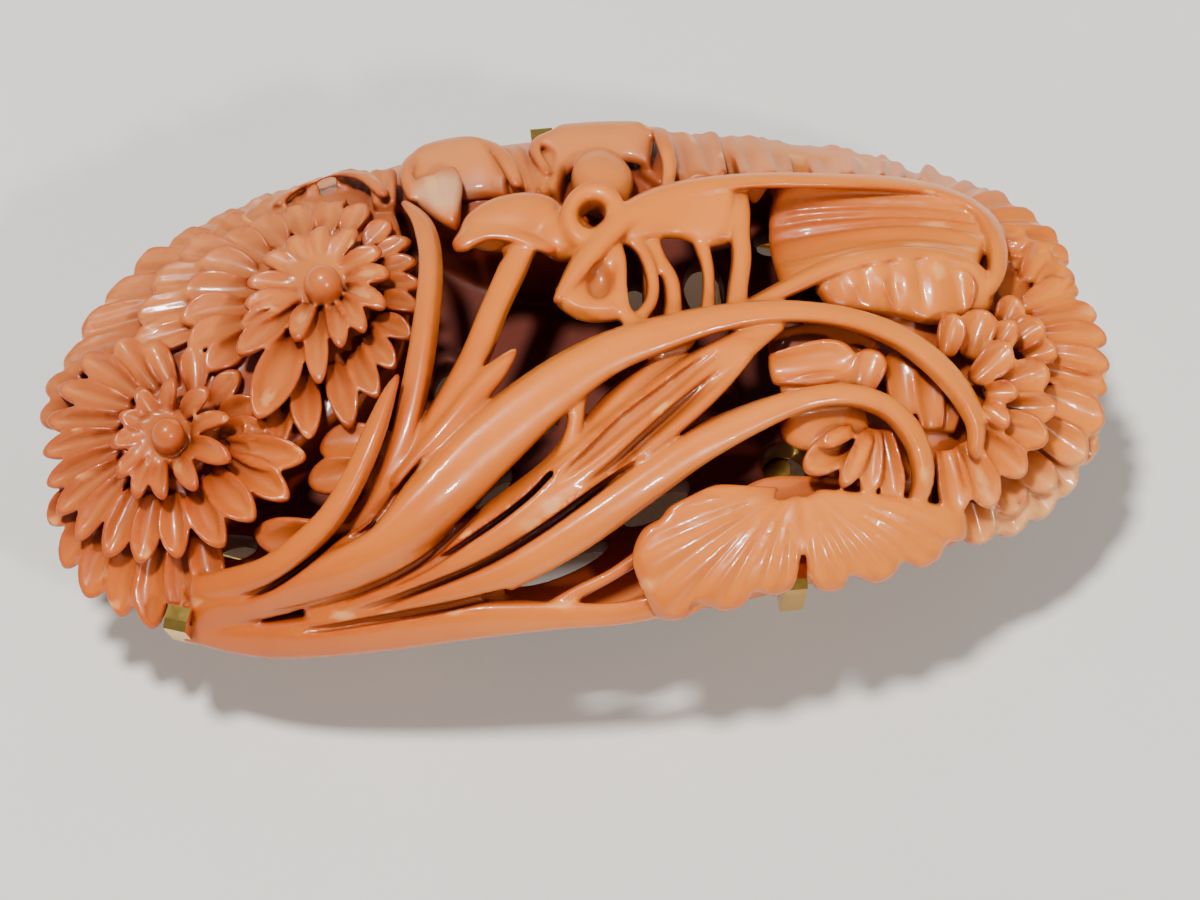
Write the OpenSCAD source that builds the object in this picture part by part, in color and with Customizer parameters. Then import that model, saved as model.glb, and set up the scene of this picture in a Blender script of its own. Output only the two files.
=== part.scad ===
// Obidome: an oval openwork coral carving held by claws on a gold frame with two loops for a flat cord.
// Millimetres. X runs along the piece, Y across it, Z up out of its face. It lies on its loops at z = 0.

/* [Coral] */
// Height of the carving's flat back above the floor
back_z = 6.4; // [6.2:0.05:7.5]
// Height of the dome at the rim
rim_z = 9; // [8:0.1:10.5]
// Rise of the dome from the rim to the middle
dome_rise = 6.5; // [4:0.1:8]
// Half length of the dome
dome_a = 26.6; // [24:0.1:29]
// Half width of the dome
dome_b = 14.6; // [12:0.1:16]
// Sideways shift of a carved point for each millimetre of depth
lean = 0.62; // [0:0.01:0.8]
// Thickness of the pierced floor behind the carving
floor_t = 1.5; // [1:0.1:2.5]
// Shift of the carving across the frame
coral_y = -0.55; // [-1:0.05:1]

/* [Frame wire] */
// Half length of the oval wire
oval_a = 23; // [18:0.1:24]
// Half width of the oval wire
oval_b = 10.9; // [8:0.1:12]
// Radius of the oval at its two ends
oval_end_r = 7.5; // [5:0.1:8]
// Diameter of the oval wire
wire_d = 1.2; // [0.8:0.05:1.6]

/* [Cord loops] */
// Distance from the middle to each loop
loop_x = 9; // [6:0.1:14]
// Width of each loop along the piece
loop_w = 2.2; // [1.5:0.1:4]
// Clear width of the cord's passage
cord_w = 11; // [8:0.1:14]
// Clear height of the cord's passage
cord_h = 4.6; // [3:0.1:5]
// Metal thickness of the loops
strip_t = 0.9; // [0.6:0.05:1.2]

/* [Claws] */
// Width of a claw
claw_w = 1.1; // [0.8:0.05:1.6]
// Thickness of a claw
claw_t = 0.6; // [0.4:0.05:0.8]
// Outward lean of a claw's post
splay = 0.9; // [0:0.1:1.5]
// Gap left between a claw and the coral round it
claw_gap = 0.1; // [0.05:0.01:0.2]

/* [Hidden] */
$fn = 48;
coral = [0.86, 0.5, 0.34];
gold = [0.85, 0.66, 0.25];
bar_top = strip_t + cord_h + 0.8;
wire_z = bar_top - wire_d / 2 - 0.05;
foot_z = bar_top - 0.1 - claw_t;
side_r = (pow(oval_a - oval_end_r, 2) + oval_b * oval_b - oval_end_r * oval_end_r)
    / (2 * (oval_b - oval_end_r));
side_turn = atan2(side_r - oval_b, oval_a - oval_end_r);

// Dome height over a plan point, and the carved point h above it
function fall(s) = s > 0.09 ? sqrt(s) : 0.15 + s / 0.6;
function dome_z(x, y) = rim_z + dome_rise * fall(1 - pow(x / dome_a, 2) - pow(y / dome_b, 2));
function carved(p) = [p[0], p[1] - lean * p[2], max(back_z, dome_z(p[0], p[1]) + p[2])];
function middle(ring) = [for (k = [0:2]) [for (p = ring) p[k]] * [for (p = ring) 1 / len(ring)]];
function unit(v) = v / max(1e-6, norm(v));
// A closed skin over rings of equal length, its ends closed flat or round a hub
module skin(rings, hub = false) {
    m = len(rings[0]);
    n = len(rings);
    points = [for (r = rings) each r, middle(rings[0]), middle(rings[n - 1])];
    sides = [for (i = [0:n - 2]) for (j = [0:m - 1])
        let (a = i * m + j, b = i * m + (j + 1) % m) each [[a, b + m, b], [a, a + m, b + m]]];
    start = hub
        ? [for (j = [0:m - 1]) [j, (j + 1) % m, n * m]]
        : [for (j = [2:m - 1]) [1, j, (j + 1) % m]];
    far = (n - 1) * m;
    end = hub
        ? [for (j = [0:m - 1]) [far + (j + 1) % m, far + j, n * m + 1]]
        : [for (j = [2:m - 1]) [far + 1, far + (j + 1) % m, far + j]];
    polyhedron(hub ? points : [for (r = rings) each r], concat(sides, start, end), convexity = 10);
}

// Leaf blades. Columns: x, y, height over the dome, width, thickness, tilt in degrees
blade_section = [[-1, 0], [-0.35, 0.5], [0.7, 0.4], [0.8, -0.3], [-0.5, -0.5]];
rib_section = [[-1, 0.05], [-0.1, 0.5], [1, 0.15], [0, -0.5]];
blade_front = [
    [-19.5, -10.2, -0.6, 0.9, 1.2, 0], [-16, -10.7, 0.1, 1.1, 1.2, 0], [-13.2, -9.4, 0.5, 1.1, 1.2, 0],
    [-11.5, -7.5, 0.8, 1.1, 1.1, 10], [-10.2, -5.2, 1, 1, 1, 20], [-9.3, -3.3, 1, 0.6, 0.7, 20],
    [-8.8, -2.4, 1, 0.2, 0.3, 20]];
blade_tall = [
    [-15, -11.2, -0.6, 1.4, 1.6, 0], [-11.5, -9.6, -0.3, 1.6, 1.6, 10], [-9.4, -6.4, 0, 1.7, 1.6, 25],
    [-8, -3, 0.2, 1.6, 1.6, 30], [-7.1, 0.5, 0.5, 1.3, 1.6, 30], [-6.7, 4, 0.5, 1.1, 1.4, 30],
    [-6.9, 6.6, 0.4, 0.9, 1.1, 30], [-7.8, 8.3, 0, 0.3, 0.6, 30]];
blade_hooded = [
    [-14, -11.3, -0.6, 1.4, 1.4, 0], [-10, -8.6, -0.1, 1.6, 1.5, 10], [-7.4, -5.4, 0, 1.7, 1.5, 20],
    [-5.2, -2.2, -0.1, 1.4, 1.5, 20], [-3.9, 0.6, -0.2, 1.2, 1.4, 20], [-2.8, 2.9, -0.2, 1.2, 1.3, 20],
    [-2.5, 4.3, 0, 1.2, 1.2, 10], [-3.2, 5.4, 0.2, 1.3, 1.1, 0], [-4.6, 5.3, 0, 1, 0.9, 0],
    [-5.2, 4.8, -0.3, 0.5, 0.6, 0]];
blade_spur = [
    [-9, -7.4, 0.1, 1.2, 1.2, 10], [-6.3, -4.9, 0.3, 1.4, 1.1, 10], [-4.6, -3.2, 0.3, 1.3, 1, 10],
    [-3.7, -2.3, 0.3, 0.9, 0.7, 10], [-3.1, -1.8, 0.3, 0.2, 0.3, 10]];
blade_main = [
    [-20, -11.1, -0.6, 1.2, 1.4, 0], [-15, -11.5, 0, 1.8, 1.6, 0], [-11, -10.8, 0.3, 2, 1.6, -10],
    [-8, -9.1, 0.5, 2.1, 1.6, -20], [-5, -6.6, 0.6, 2.1, 1.6, -20], [-2, -4.1, 0.8, 2, 1.6, -20],
    [1, -2.4, 0.9, 1.8, 1.6, -15], [4, -1.4, 0.9, 1.6, 1.5, -10], [7, -0.9, 0.9, 1.4, 1.4, 0],
    [10, -0.7, 0.9, 1.2, 1.4, 0], [13, -1.2, 0.9, 1.2, 1.3, 10], [15.6, -2.4, 0.8, 1.3, 1.3, 20],
    [17.6, -4.4, 0.7, 1.3, 1.2, 30], [18.6, -6.4, 0.3, 1, 1, 30], [18.4, -8, -0.2, 0.4, 0.6, 30]];
blade_inner = [
    [-14, -12.2, -0.6, 1.2, 1.4, 0], [-9, -11.6, -0.3, 1.3, 1.4, -10], [-6, -10.7, -0.2, 1.3, 1.4, -20],
    [-3.5, -9.5, -0.1, 1.2, 1.4, -20], [-1.7, -8.1, 0, 1.1, 1.3, -20], [-0.8, -6.6, 0, 0.9, 1.2, 0],
    [-0.4, -4.8, 0, 0.9, 1.2, 0], [0.2, -3.2, 0, 1, 1.2, 0]];
blade_broad = [
    [-14, -12.7, -0.6, 1.4, 1.5, 0], [-9, -12.2, 0, 1.6, 1.5, -10], [-5, -11, 0.3, 2, 1.6, -20],
    [-2, -9.4, 0.4, 2.4, 1.6, -20], [1, -7.6, 0.5, 2.6, 1.5, -15], [3.6, -5.6, 0.5, 2.6, 1.4, -15],
    [5.8, -3.9, 0.4, 2.5, 1.3, -10], [7.8, -2.5, 0.4, 1.8, 1.2, 0], [9.6, -1.3, 0.4, 1.2, 1, 0]];
blade_shelf = [
    [-0.8, -8, -0.3, 1, 1.2, 0], [1.2, -6, -0.4, 1.2, 1.2, 0], [3, -4, -0.4, 1.3, 1.2, 0],
    [4.2, -2.6, -0.3, 1.1, 1.2, 0], [5, -1.6, 0, 0.8, 1.2, 0]];
blade_low = [
    [-13, -13.2, -0.6, 1.4, 1.4, 0], [-7, -12.9, 0, 1.6, 1.5, 0], [-4, -12.2, 0.2, 1.8, 1.6, -10],
    [-1, -11, 0.4, 2, 1.6, -10], [2, -9.4, 0.6, 2, 1.6, -10], [5, -7.7, 0.7, 1.8, 1.6, -10],
    [8, -6.2, 0.8, 1.4, 1.5, 0], [10.5, -5.4, 0.9, 1.2, 1.4, 0], [12.6, -5.3, 0.9, 1.2, 1.3, 10],
    [14.4, -6, 0.9, 1.2, 1.3, 20], [15.6, -7.6, 0.7, 1.3, 1.2, 20], [15.9, -9.3, 0.2, 1.1, 1, 20],
    [15.2, -10.7, -0.4, 0.5, 0.6, 20]];
blade_rim = [
    [-20, -11.8, -0.8, 1, 1.4, 0], [-16, -13, -0.5, 1.4, 1.4, 0], [-11, -13.7, -0.4, 1.5, 1.5, 0],
    [-6, -14, -0.4, 1.3, 1.3, 0], [-2, -14, -0.3, 1.1, 1.1, 0], [2.6, -13.7, -0.4, 1.1, 1, 0]];
blade_arc = [
    [-0.9, 0.7, 0.2, 0.5, 0.8, 0], [0.4, 2.6, 0.5, 1.1, 1.3, 0], [1.8, 4.4, 0.7, 1.3, 1.4, 10],
    [3.6, 6.2, 0.8, 1.4, 1.4, 10], [5.8, 7.3, 0.9, 1.4, 1.4, 0], [9.4, 7.8, 0.9, 1.3, 1.4, 0],
    [14, 7.8, 0.8, 1.3, 1.3, 0], [16.8, 7.8, 0.6, 1.4, 1.3, 10], [19.4, 7.8, 0.4, 1.4, 1.3, 20],
    [21.2, 6.2, 0.3, 1.3, 1.3, 30], [21.5, 3.8, 0.3, 1.2, 1.2, 20], [21.2, 1.8, 0.2, 0.9, 1, 10],
    [20.4, 0.6, -0.2, 0.4, 0.6, 0]];
blade_under = [
    [8.6, -0.2, -0.2, 0.8, 1.2, 0], [10.6, 0.8, 0.1, 1, 1.3, 0], [12.8, 1.9, 0.4, 1.1, 1.3, 0],
    [15.2, 2.6, 0.6, 1.1, 1.2, 0], [17.6, 2.8, 0.5, 1, 1.2, 0], [19.4, 2.4, 0.2, 0.8, 1, 0],
    [20.4, 1.5, -0.2, 0.4, 0.7, 0]];
strut_cross = [
    [8.7, 7.4, 0, 1.1, 1.4, 0], [8.8, 5.6, -0.1, 0.9, 1.6, 0], [8.3, 4, -0.2, 0.8, 1.6, 0],
    [8.4, 2.4, -0.3, 0.8, 1.6, 0], [8, 0.8, -0.2, 0.8, 1.5, 0], [7.8, -0.4, 0, 0.8, 1.2, 0]];
rib_almond = [
    [2, 4.2, 0, 0.7, 1.2, 0], [2.3, 2.6, -0.1, 0.5, 1.2, 0], [2.1, 1, -0.1, 0.5, 1.2, 0],
    [2.3, -0.4, 0, 0.6, 1.2, 0], [2.8, -1.4, 0, 0.7, 1.2, 0]];
rib_first = [
    [2.7, 4.2, -0.3, 0.7, 1.2, 0], [3.4, 3, -0.4, 0.5, 1.2, 0], [3.8, 1.6, -0.5, 0.5, 1.2, 0],
    [3.6, 0.2, -0.5, 0.6, 1.2, 0], [2.9, -0.8, -0.3, 0.7, 1.2, 0]];
rib_second = [
    [4.2, 4.4, -0.5, 0.6, 1.2, 0], [4.2, 3, -0.8, 0.5, 1.2, 0], [4.7, 1.6, -0.9, 0.7, 1.2, 0],
    [4.7, 0.2, -0.8, 0.8, 1.2, 0], [4.6, -1, -0.4, 0.8, 1.2, 0]];
rib_third = [
    [6.4, 3.6, -0.6, 0.5, 1, 0], [6.6, 2.2, -0.8, 0.4, 1, 0], [6.5, 0.8, -0.8, 0.4, 1, 0],
    [6.2, -0.8, -0.4, 0.6, 1, 0]];

function blade_rings(rows, section) = [for (i = [0:len(rows) - 1])
    let (p = rows[i], a = rows[max(i - 1, 0)], b = rows[min(i + 1, len(rows) - 1)],
        u = unit([b[0] - a[0], b[1] - a[1]]), side = [u[1], -u[0]], c = cos(p[5]), s = sin(p[5]))
    [for (q = section)
        let (across = q[0] * p[3] / 2 * c - q[1] * p[4] * s, up = q[0] * p[3] / 2 * s + q[1] * p[4] * c)
        carved([p[0] + side[0] * across, p[1] + side[1] * across, p[2] + up - p[4] / 2])]];

module blade(rows, section = blade_section) {
    skin(blade_rings(rows, section));
}

// Petals. Columns: root x, y, tip x, y, width, height over the dome at root and tip, cup of the edges
lower_flower = [
    [-20.4, -2.4, -21.5, -0.4, 1.2, -0.9, -0.1, 0.3], [-19.7, -2.3, -19.6, -0.5, 1.2, -0.9, -0.1, 0.3],
    [-19.1, -2.8, -17.6, -1.5, 1.2, -0.9, -0.2, 0.3], [-18.9, -4.1, -17, -5.3, 1.4, -0.9, -0.1, 0.3],
    [-19.5, -4.6, -18.8, -6.4, 1.3, -0.9, 0, 0.3], [-20.6, -4.6, -21.4, -6.4, 1.4, -0.9, 0, 0.3],
    [-21, -3.4, -22.7, -3.2, 1.3, -0.9, -0.2, 0.3],
    [-18.2, -5.5, -16.3, -8.1, 2.1, -1.1, -0.4, 0.4], [-19, -6, -18, -9, 1.9, -1.2, -0.5, 0.4],
    [-20, -6, -20.1, -8.7, 1.8, -1.2, -0.5, 0.4], [-21.2, -5.8, -22.4, -8.2, 1.8, -1.2, -0.4, 0.3],
    [-22, -5.2, -24.3, -6.8, 1.9, -1.2, -0.4, 0.3], [-22.2, -4.2, -25.4, -5, 1.8, -1.2, -0.4, 0.3],
    [-22.3, -3.2, -26, -3.2, 1.8, -1.2, -0.4, 0.3], [-22.2, -2.2, -26, -1.3, 1.8, -1.2, -0.4, 0.3],
    [-21.8, -1.4, -25.6, 0.7, 1.8, -1.2, -0.5, 0.3], [-21.2, -0.8, -24.4, 2.6, 1.9, -1.3, -0.6, 0.3],
    [-20.2, -0.7, -22.2, 2.8, 1.7, -1.5, -0.9, 0.2],
    [-18.6, -1.5, -18.2, 1.2, 1.7, -1.7, -1.1, 0.2], [-17.8, -3, -15.6, -2.8, 1.6, -1.7, -1.1, 0.2],
    [-17.2, -4.2, -13.5, -5.9, 1.8, -1.4, -0.9, 0.3], [-17.2, -5.2, -14.5, -7.7, 1.8, -1.5, -1, 0.3],
    [-21.8, -7.4, -23, -10.2, 2.2, -1.6, -0.8, 0.2], [-20.3, -8, -20.5, -11, 2.2, -1.6, -0.8, 0.2],
    [-23.2, -6.2, -25, -8.4, 2.4, -1.6, -0.8, 0.2], [-24, -4.8, -26, -6.2, 2, -1.6, -0.9, 0.2]];
upper_flower = [
    [-12.6, 2.4, -13.8, 0.2, 1.5, -0.9, 0, 0.4], [-12, 1.8, -12.5, -2.2, 1.4, -1, -0.4, 0.3],
    [-11.5, 2.2, -10.8, -0.8, 1.6, -0.9, -0.1, 0.4], [-10.9, 2.9, -9, 1.4, 1.5, -0.9, -0.2, 0.3],
    [-10.8, 3.7, -8.8, 4.3, 1.5, -0.9, -0.2, 0.3], [-11.3, 4.7, -9.6, 6.8, 1.6, -0.9, -0.3, 0.3],
    [-12, 4.9, -11.6, 7.2, 1.5, -1, -0.4, 0.2], [-12.8, 4.6, -14, 6.8, 1.6, -1, -0.4, 0.2],
    [-13.1, 3.8, -15.5, 4.8, 1.5, -1, -0.3, 0.2], [-13.2, 3, -15.9, 2.5, 1.6, -0.9, -0.2, 0.3],
    [-13.4, 2.2, -16.5, -0.2, 2, -0.9, -0.2, 0.4], [-13.6, 0.8, -15.7, -3.6, 2.5, -1, -0.2, 0.5],
    [-12.9, -1.4, -13.3, -4.9, 1.8, -1.6, -1, 0.3], [-11.8, -1.2, -11.4, -4.7, 1.7, -1.5, -0.8, 0.3],
    [-10.6, -0.4, -9.6, -3.2, 1.8, -1.5, -1, 0.2],
    [-9.9, 0.8, -8.2, -1.2, 1.7, -1.5, -1.1, 0.2], [-9.5, 2.2, -7.5, 1, 1.6, -1.6, -1.1, 0.2],
    [-9.4, 3.4, -7.3, 3.2, 1.5, -1.6, -1.1, 0.2], [-9.4, 4.6, -7.4, 5.2, 1.5, -1.6, -1.1, 0.2],
    [-10.8, 6.8, -9.6, 9.6, 1.7, -1.7, -1, 0.2],
    [-12.2, 7, -12, 10, 1.9, -1.7, -1, 0.2], [-13.8, 6.6, -15, 9.6, 2.1, -1.6, -0.9, 0.2],
    [-15, 5.4, -17.4, 7.6, 2.1, -1.6, -0.9, 0.2], [-15.6, 4, -18.6, 5, 2.1, -1.6, -0.9, 0.2],
    [-15.8, 2.6, -18.9, 2.3, 2, -1.7, -1, 0.2], [-16, 1.2, -18.2, -0.2, 1.8, -1.8, -1.2, 0.2],
    [-14, 9, -14.7, 12.8, 2.6, -1.6, -0.4, 0.1], [-16, 8.2, -17.8, 11, 2.5, -1.6, -0.5, 0.1],
    [-17.8, 6.6, -20.6, 9, 2.5, -1.7, -0.5, 0.1], [-19, 4.8, -22.6, 6.4, 2.6, -1.8, -0.6, 0.1],
    [-19.6, 3.2, -24, 3.7, 2.3, -1.9, -0.7, 0.1], [-12, 9.6, -12, 13.4, 2.2, -1.8, -0.2, 0.1],
    [-10, 9.2, -9.4, 12.2, 1.9, -1.9, -0.6, 0.1]];
right_flower = [
    [17.6, -3, 18.4, -0.8, 1.5, -0.9, -0.1, 0.4], [19, -3.6, 20.6, -0.5, 2.3, -0.9, 0, 0.5],
    [20.8, -1.8, 22, 0.3, 2, -1.2, -0.4, 0.3], [20.6, -2.8, 23, -1.8, 1.9, -1.1, -0.2, 0.4],
    [22.4, -0.6, 25.3, 1.4, 2.2, -1.4, -0.5, 0.3], [22.6, -1.8, 26.1, -0.6, 2, -1.3, -0.4, 0.3],
    [22.6, -3, 26.2, -2.5, 2.1, -1.3, -0.4, 0.3], [19.6, -4.8, 23, -4, 2.3, -0.9, -0.1, 0.4],
    [22, -5, 25.4, -5.1, 3.2, -1.4, -0.4, 0.4], [19.6, -5.8, 22.8, -6.4, 2.4, -0.9, -0.2, 0.4],
    [19.4, -6.6, 21.6, -8.3, 2.2, -0.9, -0.3, 0.4], [18.2, -7.2, 19.9, -9.7, 2.4, -0.9, -0.4, 0.4],
    [16.8, -8, 17.4, -10.6, 2.6, -1, -0.4, 0.4], [21.4, -6.8, 24, -7.6, 2.8, -1.5, -0.7, 0.3],
    [20.2, -8, 22.2, -9.4, 3, -1.6, -0.8, 0.3], [18.8, -8.8, 19.9, -10.6, 2.5, -1.7, -0.9, 0.3],
    [23.2, 0.8, 24.3, 3.8, 2.3, -1.4, -0.5, 0.3], [22.4, 2.6, 22.8, 6, 2.4, -1.6, -0.6, 0.3]];
curl_flower = [
    [12.9, -6.5, 9.4, -7, 2.4, -0.6, -0.5, 0.4], [12.9, -7.3, 10.2, -8.9, 1.9, -1, -0.7, 0.5],
    [13.3, -7, 11.9, -9.6, 1.1, -0.4, -0.2, 0.2], [13.6, -6.7, 14.2, -10.3, 2.2, -0.8, -0.6, 0.6],
    [12.8, -9, 12, -10.4, 1.6, -1, -0.9, 0.3]];
folded_flower = [
    [9.6, -2.2, 14.4, -2.4, 1.4, -1.2, -0.8, 0.1], [9.4, -3.6, 13.4, -3.4, 1.5, -1, -0.6, 0.3],
    [9.8, -4.4, 13.6, -4.3, 1.3, -1.2, -0.8, 0.2], [15.6, -8.2, 16.4, -2.6, 3, -1.3, -0.8, 0.5],
    [14.9, -4.4, 15.6, -2.2, 1.6, -1.2, -0.7, 0.2]];
small_lobes = [
    [-9.4, -6.2, -12.9, -5.6, 1.9, -1.1, -1.6, 0.1], [-12, -10.2, -16.4, -9.2, 2, -0.9, -1.4, 0.1],
    [-1.2, -4.3, -1.2, 0.6, 1.5, -0.4, -1, 0.1], [15.4, -1, 15.4, 1.8, 2.2, -1, -0.6, 0.2],
    [17.6, -1.4, 18.4, 2, 2, -1, -0.7, 0.2], [15.4, -1.8, 12, -0.2, 1.5, -1, -0.9, 0.1]];
far_plates = [
    [6.6, 8.4, 6.4, 13.4, 1.8, -1, -0.2, 0.1], [7.9, 8.4, 7.9, 13.6, 1.5, -0.9, -0.1, 0.1],
    [10.2, 8.2, 10.4, 13.6, 3.1, -0.8, 0.1, 0.1], [13.8, 8.2, 14.4, 13.2, 3, -0.8, 0, 0.1],
    [16, 8.2, 17, 12.2, 2.6, -0.8, -0.1, 0.1], [18.4, 8, 19.8, 11, 2, -1.6, -0.3, 0.1],
    [20.6, 6.6, 22.6, 8.8, 2, -1.1, -0.4, 0.1], [21.8, 5.2, 24.4, 6.6, 2, -1.1, -0.4, 0.1],
    [21.9, 4, 24.8, 4.4, 1.5, -1, -0.3, 0.2],
    [-1.9, 8.6, -2.3, 14, 1.4, -1, 0.2, -0.2], [-0.8, 8.6, -0.9, 14.2, 1.2, -1, 0.3, -0.2],
    [0.2, 8.6, 0.1, 13.8, 1.1, -1, 0.2, -0.2], [-8.6, 8.6, -8.6, 11.8, 1.6, -1.4, -0.4, 0.1]];
// Broad leaf faces: the hollow leaf, the web over the holes, the hoods and the almond leaf
leaf_faces = [
    [20.6, 4.6, 10.8, 3.9, 6.4, -2, -2.2, 1.3], [3.4, 4.6, 8.6, 5.6, 3, -0.8, -0.7, 0.3],
    [1.4, 4, -4.2, 6.2, 3.4, -1, -0.6, -0.7], [-1, 4, -5.2, 5.2, 1.6, -0.1, -0.4, -0.4],
    [2.2, -0.2, 0.4, 3.4, 2.2, -0.4, -0.4, 0.3], [8.6, -8.6, 6.8, -6.4, 2.4, -1, -0.6, 0.1]];
// Share of the length, share of the width, share of the rise
petal_stations = [[0, 0.35, 0], [0.78, 0.9, 1], [1, 0.6, 0.9]];

module petals(rows, t = 1.6) {
    for (r = rows) {
        root = [r[0], r[1]];
        reach = [r[2] - r[0], r[3] - r[1]];
        u = unit(reach);
        side = [u[1], -u[0]] * r[4] / 2;
        skin([for (s = petal_stations)
            let (p = root + reach * s[0], h = r[5] + (r[6] - r[5]) * s[2], w = side * s[1])
            [for (q = [[-1, r[7]], [0, 0], [1, r[7]], [0, -t]])
                carved([p[0] + w[0] * q[0], p[1] + w[1] * q[0], h + q[1]])]]);
    }
}

// Solid masses under the flowers and leaves. Columns: plan x, y, depth under the dome at the edge
left_bed = [
    [-25.6, -1, 1.6], [-24.6, -6.6, 1.6], [-20.4, -10.8, 1.8], [-18.6, -8.2, 2.4], [-14.6, -5.6, 2.4],
    [-9.8, -2.6, 2.4], [-7.8, 3, 2.2], [-8.8, 11, 1.6], [-12, 12.3, 1.2], [-18, 9.6, 1.2], [-23, 5, 1.4]];
right_bed = [
    [12, -0.6, 2], [9.4, -3.4, 2.4], [10.6, -7.6, 2.4], [11.6, -9.8, 2], [18, -10.4, 1.6],
    [23.6, -7.2, 1.4], [25.6, -2, 1.4], [23.6, 5.6, 1.4], [21.2, 8, 1.6], [18.4, 1.8, 1.8]];
far_bed = [
    [-8.2, 8.4, 2.2], [-2, 4.6, 2.4], [0.6, 3.8, 2.2], [5, 8, 2.2], [14, 7.2, 1.6], [21.4, 7.2, 1.4],
    [17, 11.4, 1], [10, 13.2, 1], [2, 14, 1], [-5, 13.8, 1], [-9, 12.4, 1.2]];
cup_bed = [
    [11.4, 6.2, 2.8], [10.4, 1.4, 2.8], [16, 2.2, 2], [21, 3, 2], [20.6, 6.6, 2], [14, 7.2, 2]];
root_bed = [
    [-20.6, -10.2, 1.4], [-16, -12.6, 1], [-6, -13.6, 0.8], [-4.8, -12.6, 1.2], [-10.5, -11.2, 1.6],
    [-17, -9.8, 1.6]];
plate_bed = [
    [2, -13.2, 0.9], [10, -12.8, 0.9], [17, -11, 0.9], [15, -10, 1.4], [9, -8.8, 2],
    [6.6, -9.6, 1.8], [2.6, -11.3, 1.1]];

module bed(rows) {
    c = middle([for (r = rows) [r[0], r[1], 0]]);
    function toward(r, f) = [r[0] + (c[0] - r[0]) * f, r[1] + (c[1] - r[1]) * f];
    skin([
        [for (r = rows) let (p = carved([r[0], r[1], -r[2] - 0.6])) [p[0] * 0.96, p[1] * 0.92, back_z + 0.5]],
        [for (r = rows) carved([r[0], r[1], -r[2] - 0.4])],
        [for (r = rows) let (p = toward(r, 0.3)) carved([p[0], p[1], 0.3 - r[2]])]], true);
}

// Outline of the pierced floor, and the holes through it. Columns: x, y
floor_outline = [
    [-24.8, 0], [-24, -4.6], [-20.8, -8.8], [-16, -11], [-10, -12.1], [-3, -12.4], [4, -12.2],
    [11, -11.2], [17, -9.6], [21.6, -7], [24.4, -3.4], [24.8, 1], [23, 6], [19, 10], [12.5, 12.6],
    [5, 13.5], [-3, 13.5], [-10, 12.3], [-16, 10.3], [-21, 7], [-24, 3.2]];
// Columns: x, y, length along x, width along y, turn
floor_holes = [
    [3.4, 5.4, 1.9, 3.4, 10], [6.9, 5.6, 2.8, 5, 0], [11, 8.2, 2, 2, 0], [9.8, -5, 2.2, 2.2, 0],
    [-17.3, -6.8, 2.4, 1.5, 10], [-6.4, 1.4, 1.3, 4, -10], [-1.9, -1.4, 3, 2, 50],
    [-1.2, -9, 8, 1.9, 20], [-4.4, -4.6, 6, 1.8, 45], [7, -2.2, 3, 1.6, 40],
    [-2.2, 4.2, 2, 3.2, -10], [4.2, -5.6, 3.2, 1.4, 20]];

module openwork_floor() {
    difference() {
        translate([0, 0, back_z])
            linear_extrude(floor_t)
                polygon(floor_outline);
        for (h = floor_holes)
            translate([h[0], h[1], back_z - 1])
                rotate([0, 0, h[4]])
                    scale([h[2] / 2, h[3] / 2, 1])
                        cylinder(h = floor_t + 2, r = 1, $fn = 6);
    }
}

// Leaf fans. First row is the centre, then the outline. Columns: x, y, height over the dome
plate_leaf = [
    [8.6, -9.8, -0.9],
    [7.8, -8.4, -0.9], [6.2, -9.2, -0.6], [4.2, -9.9, -0.2], [2.6, -10.5, -0.1], [1.5, -11.8, -0.1],
    [1.9, -13.1, -0.3], [3.2, -13.9, -0.2], [4.6, -13.5, 0], [5.4, -14, -0.2], [6.6, -13.4, 0],
    [7.8, -13.6, -0.1], [9.1, -13.2, -0.3], [10, -13.1, 0], [11.6, -12.9, -0.2], [12.8, -12.7, 0],
    [14.2, -12.3, -0.2], [15.6, -11.8, 0], [17.6, -11.2, -0.3], [17.6, -10.2, -0.6], [14, -9.7, -0.9],
    [10.2, -9.4, -1]];

module fan(rows, t) {
    c = rows[0];
    edge = [for (i = [1:len(rows) - 1]) rows[i]];
    skin([
        [for (r = edge) carved(c + (r - c) * 0.3 - [0, 0, t])],
        [for (r = edge) carved(r - [0, 0, t])],
        [for (r = edge) carved(r)],
        [for (r = edge) carved(c + (r - c) * 0.15)]], true);
}

// Curled arches of the far petals. Columns: x, y, height over the dome, width, thickness, tilt
arch_left = [
    [-7.5, 9.4, -0.6, 0.8, 1.6, 0], [-7.5, 11.5, 0.4, 0.9, 1.7, 0], [-7, 13.1, 1.5, 1, 1.8, 0],
    [-5.8, 14.1, 2.3, 1, 1.8, 0], [-4.5, 13.9, 2.2, 1, 1.8, 0], [-3.4, 12.6, 1.6, 1, 1.8, 0],
    [-2.8, 10.6, 0.8, 0.9, 1.7, 0], [-2.6, 8.4, 0, 0.7, 1.5, 0]];
arch_right = [
    [-0.5, 12, 0.3, 0.8, 1.6, 0], [0, 13.8, 1.5, 0.9, 1.8, 0], [1.2, 15, 2.5, 1, 1.9, 0],
    [2.6, 15.4, 2.9, 1, 1.9, 0], [4, 14.8, 2.6, 1, 1.9, 0], [4.9, 13.2, 1.9, 1, 1.8, 0],
    [5.2, 11, 1, 0.9, 1.7, 0], [5.3, 9, 0.3, 0.8, 1.6, 0], [5, 7.4, -0.2, 0.6, 1.2, 0]];
// Faces behind the arches
arch_faces = [
    [-5.2, 8, -5.2, 14, 3.4, -1.4, 1.1, 0.2], [2.4, 8, 2.5, 14.6, 3.8, -1.6, 1.6, 0.2],
    [-5.4, 6.2, -5.4, 10.2, 2.4, -0.6, 0.2, 0.1], [2.6, 7, 2.7, 11.4, 2.6, -0.4, 0.2, -0.4]];

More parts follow.
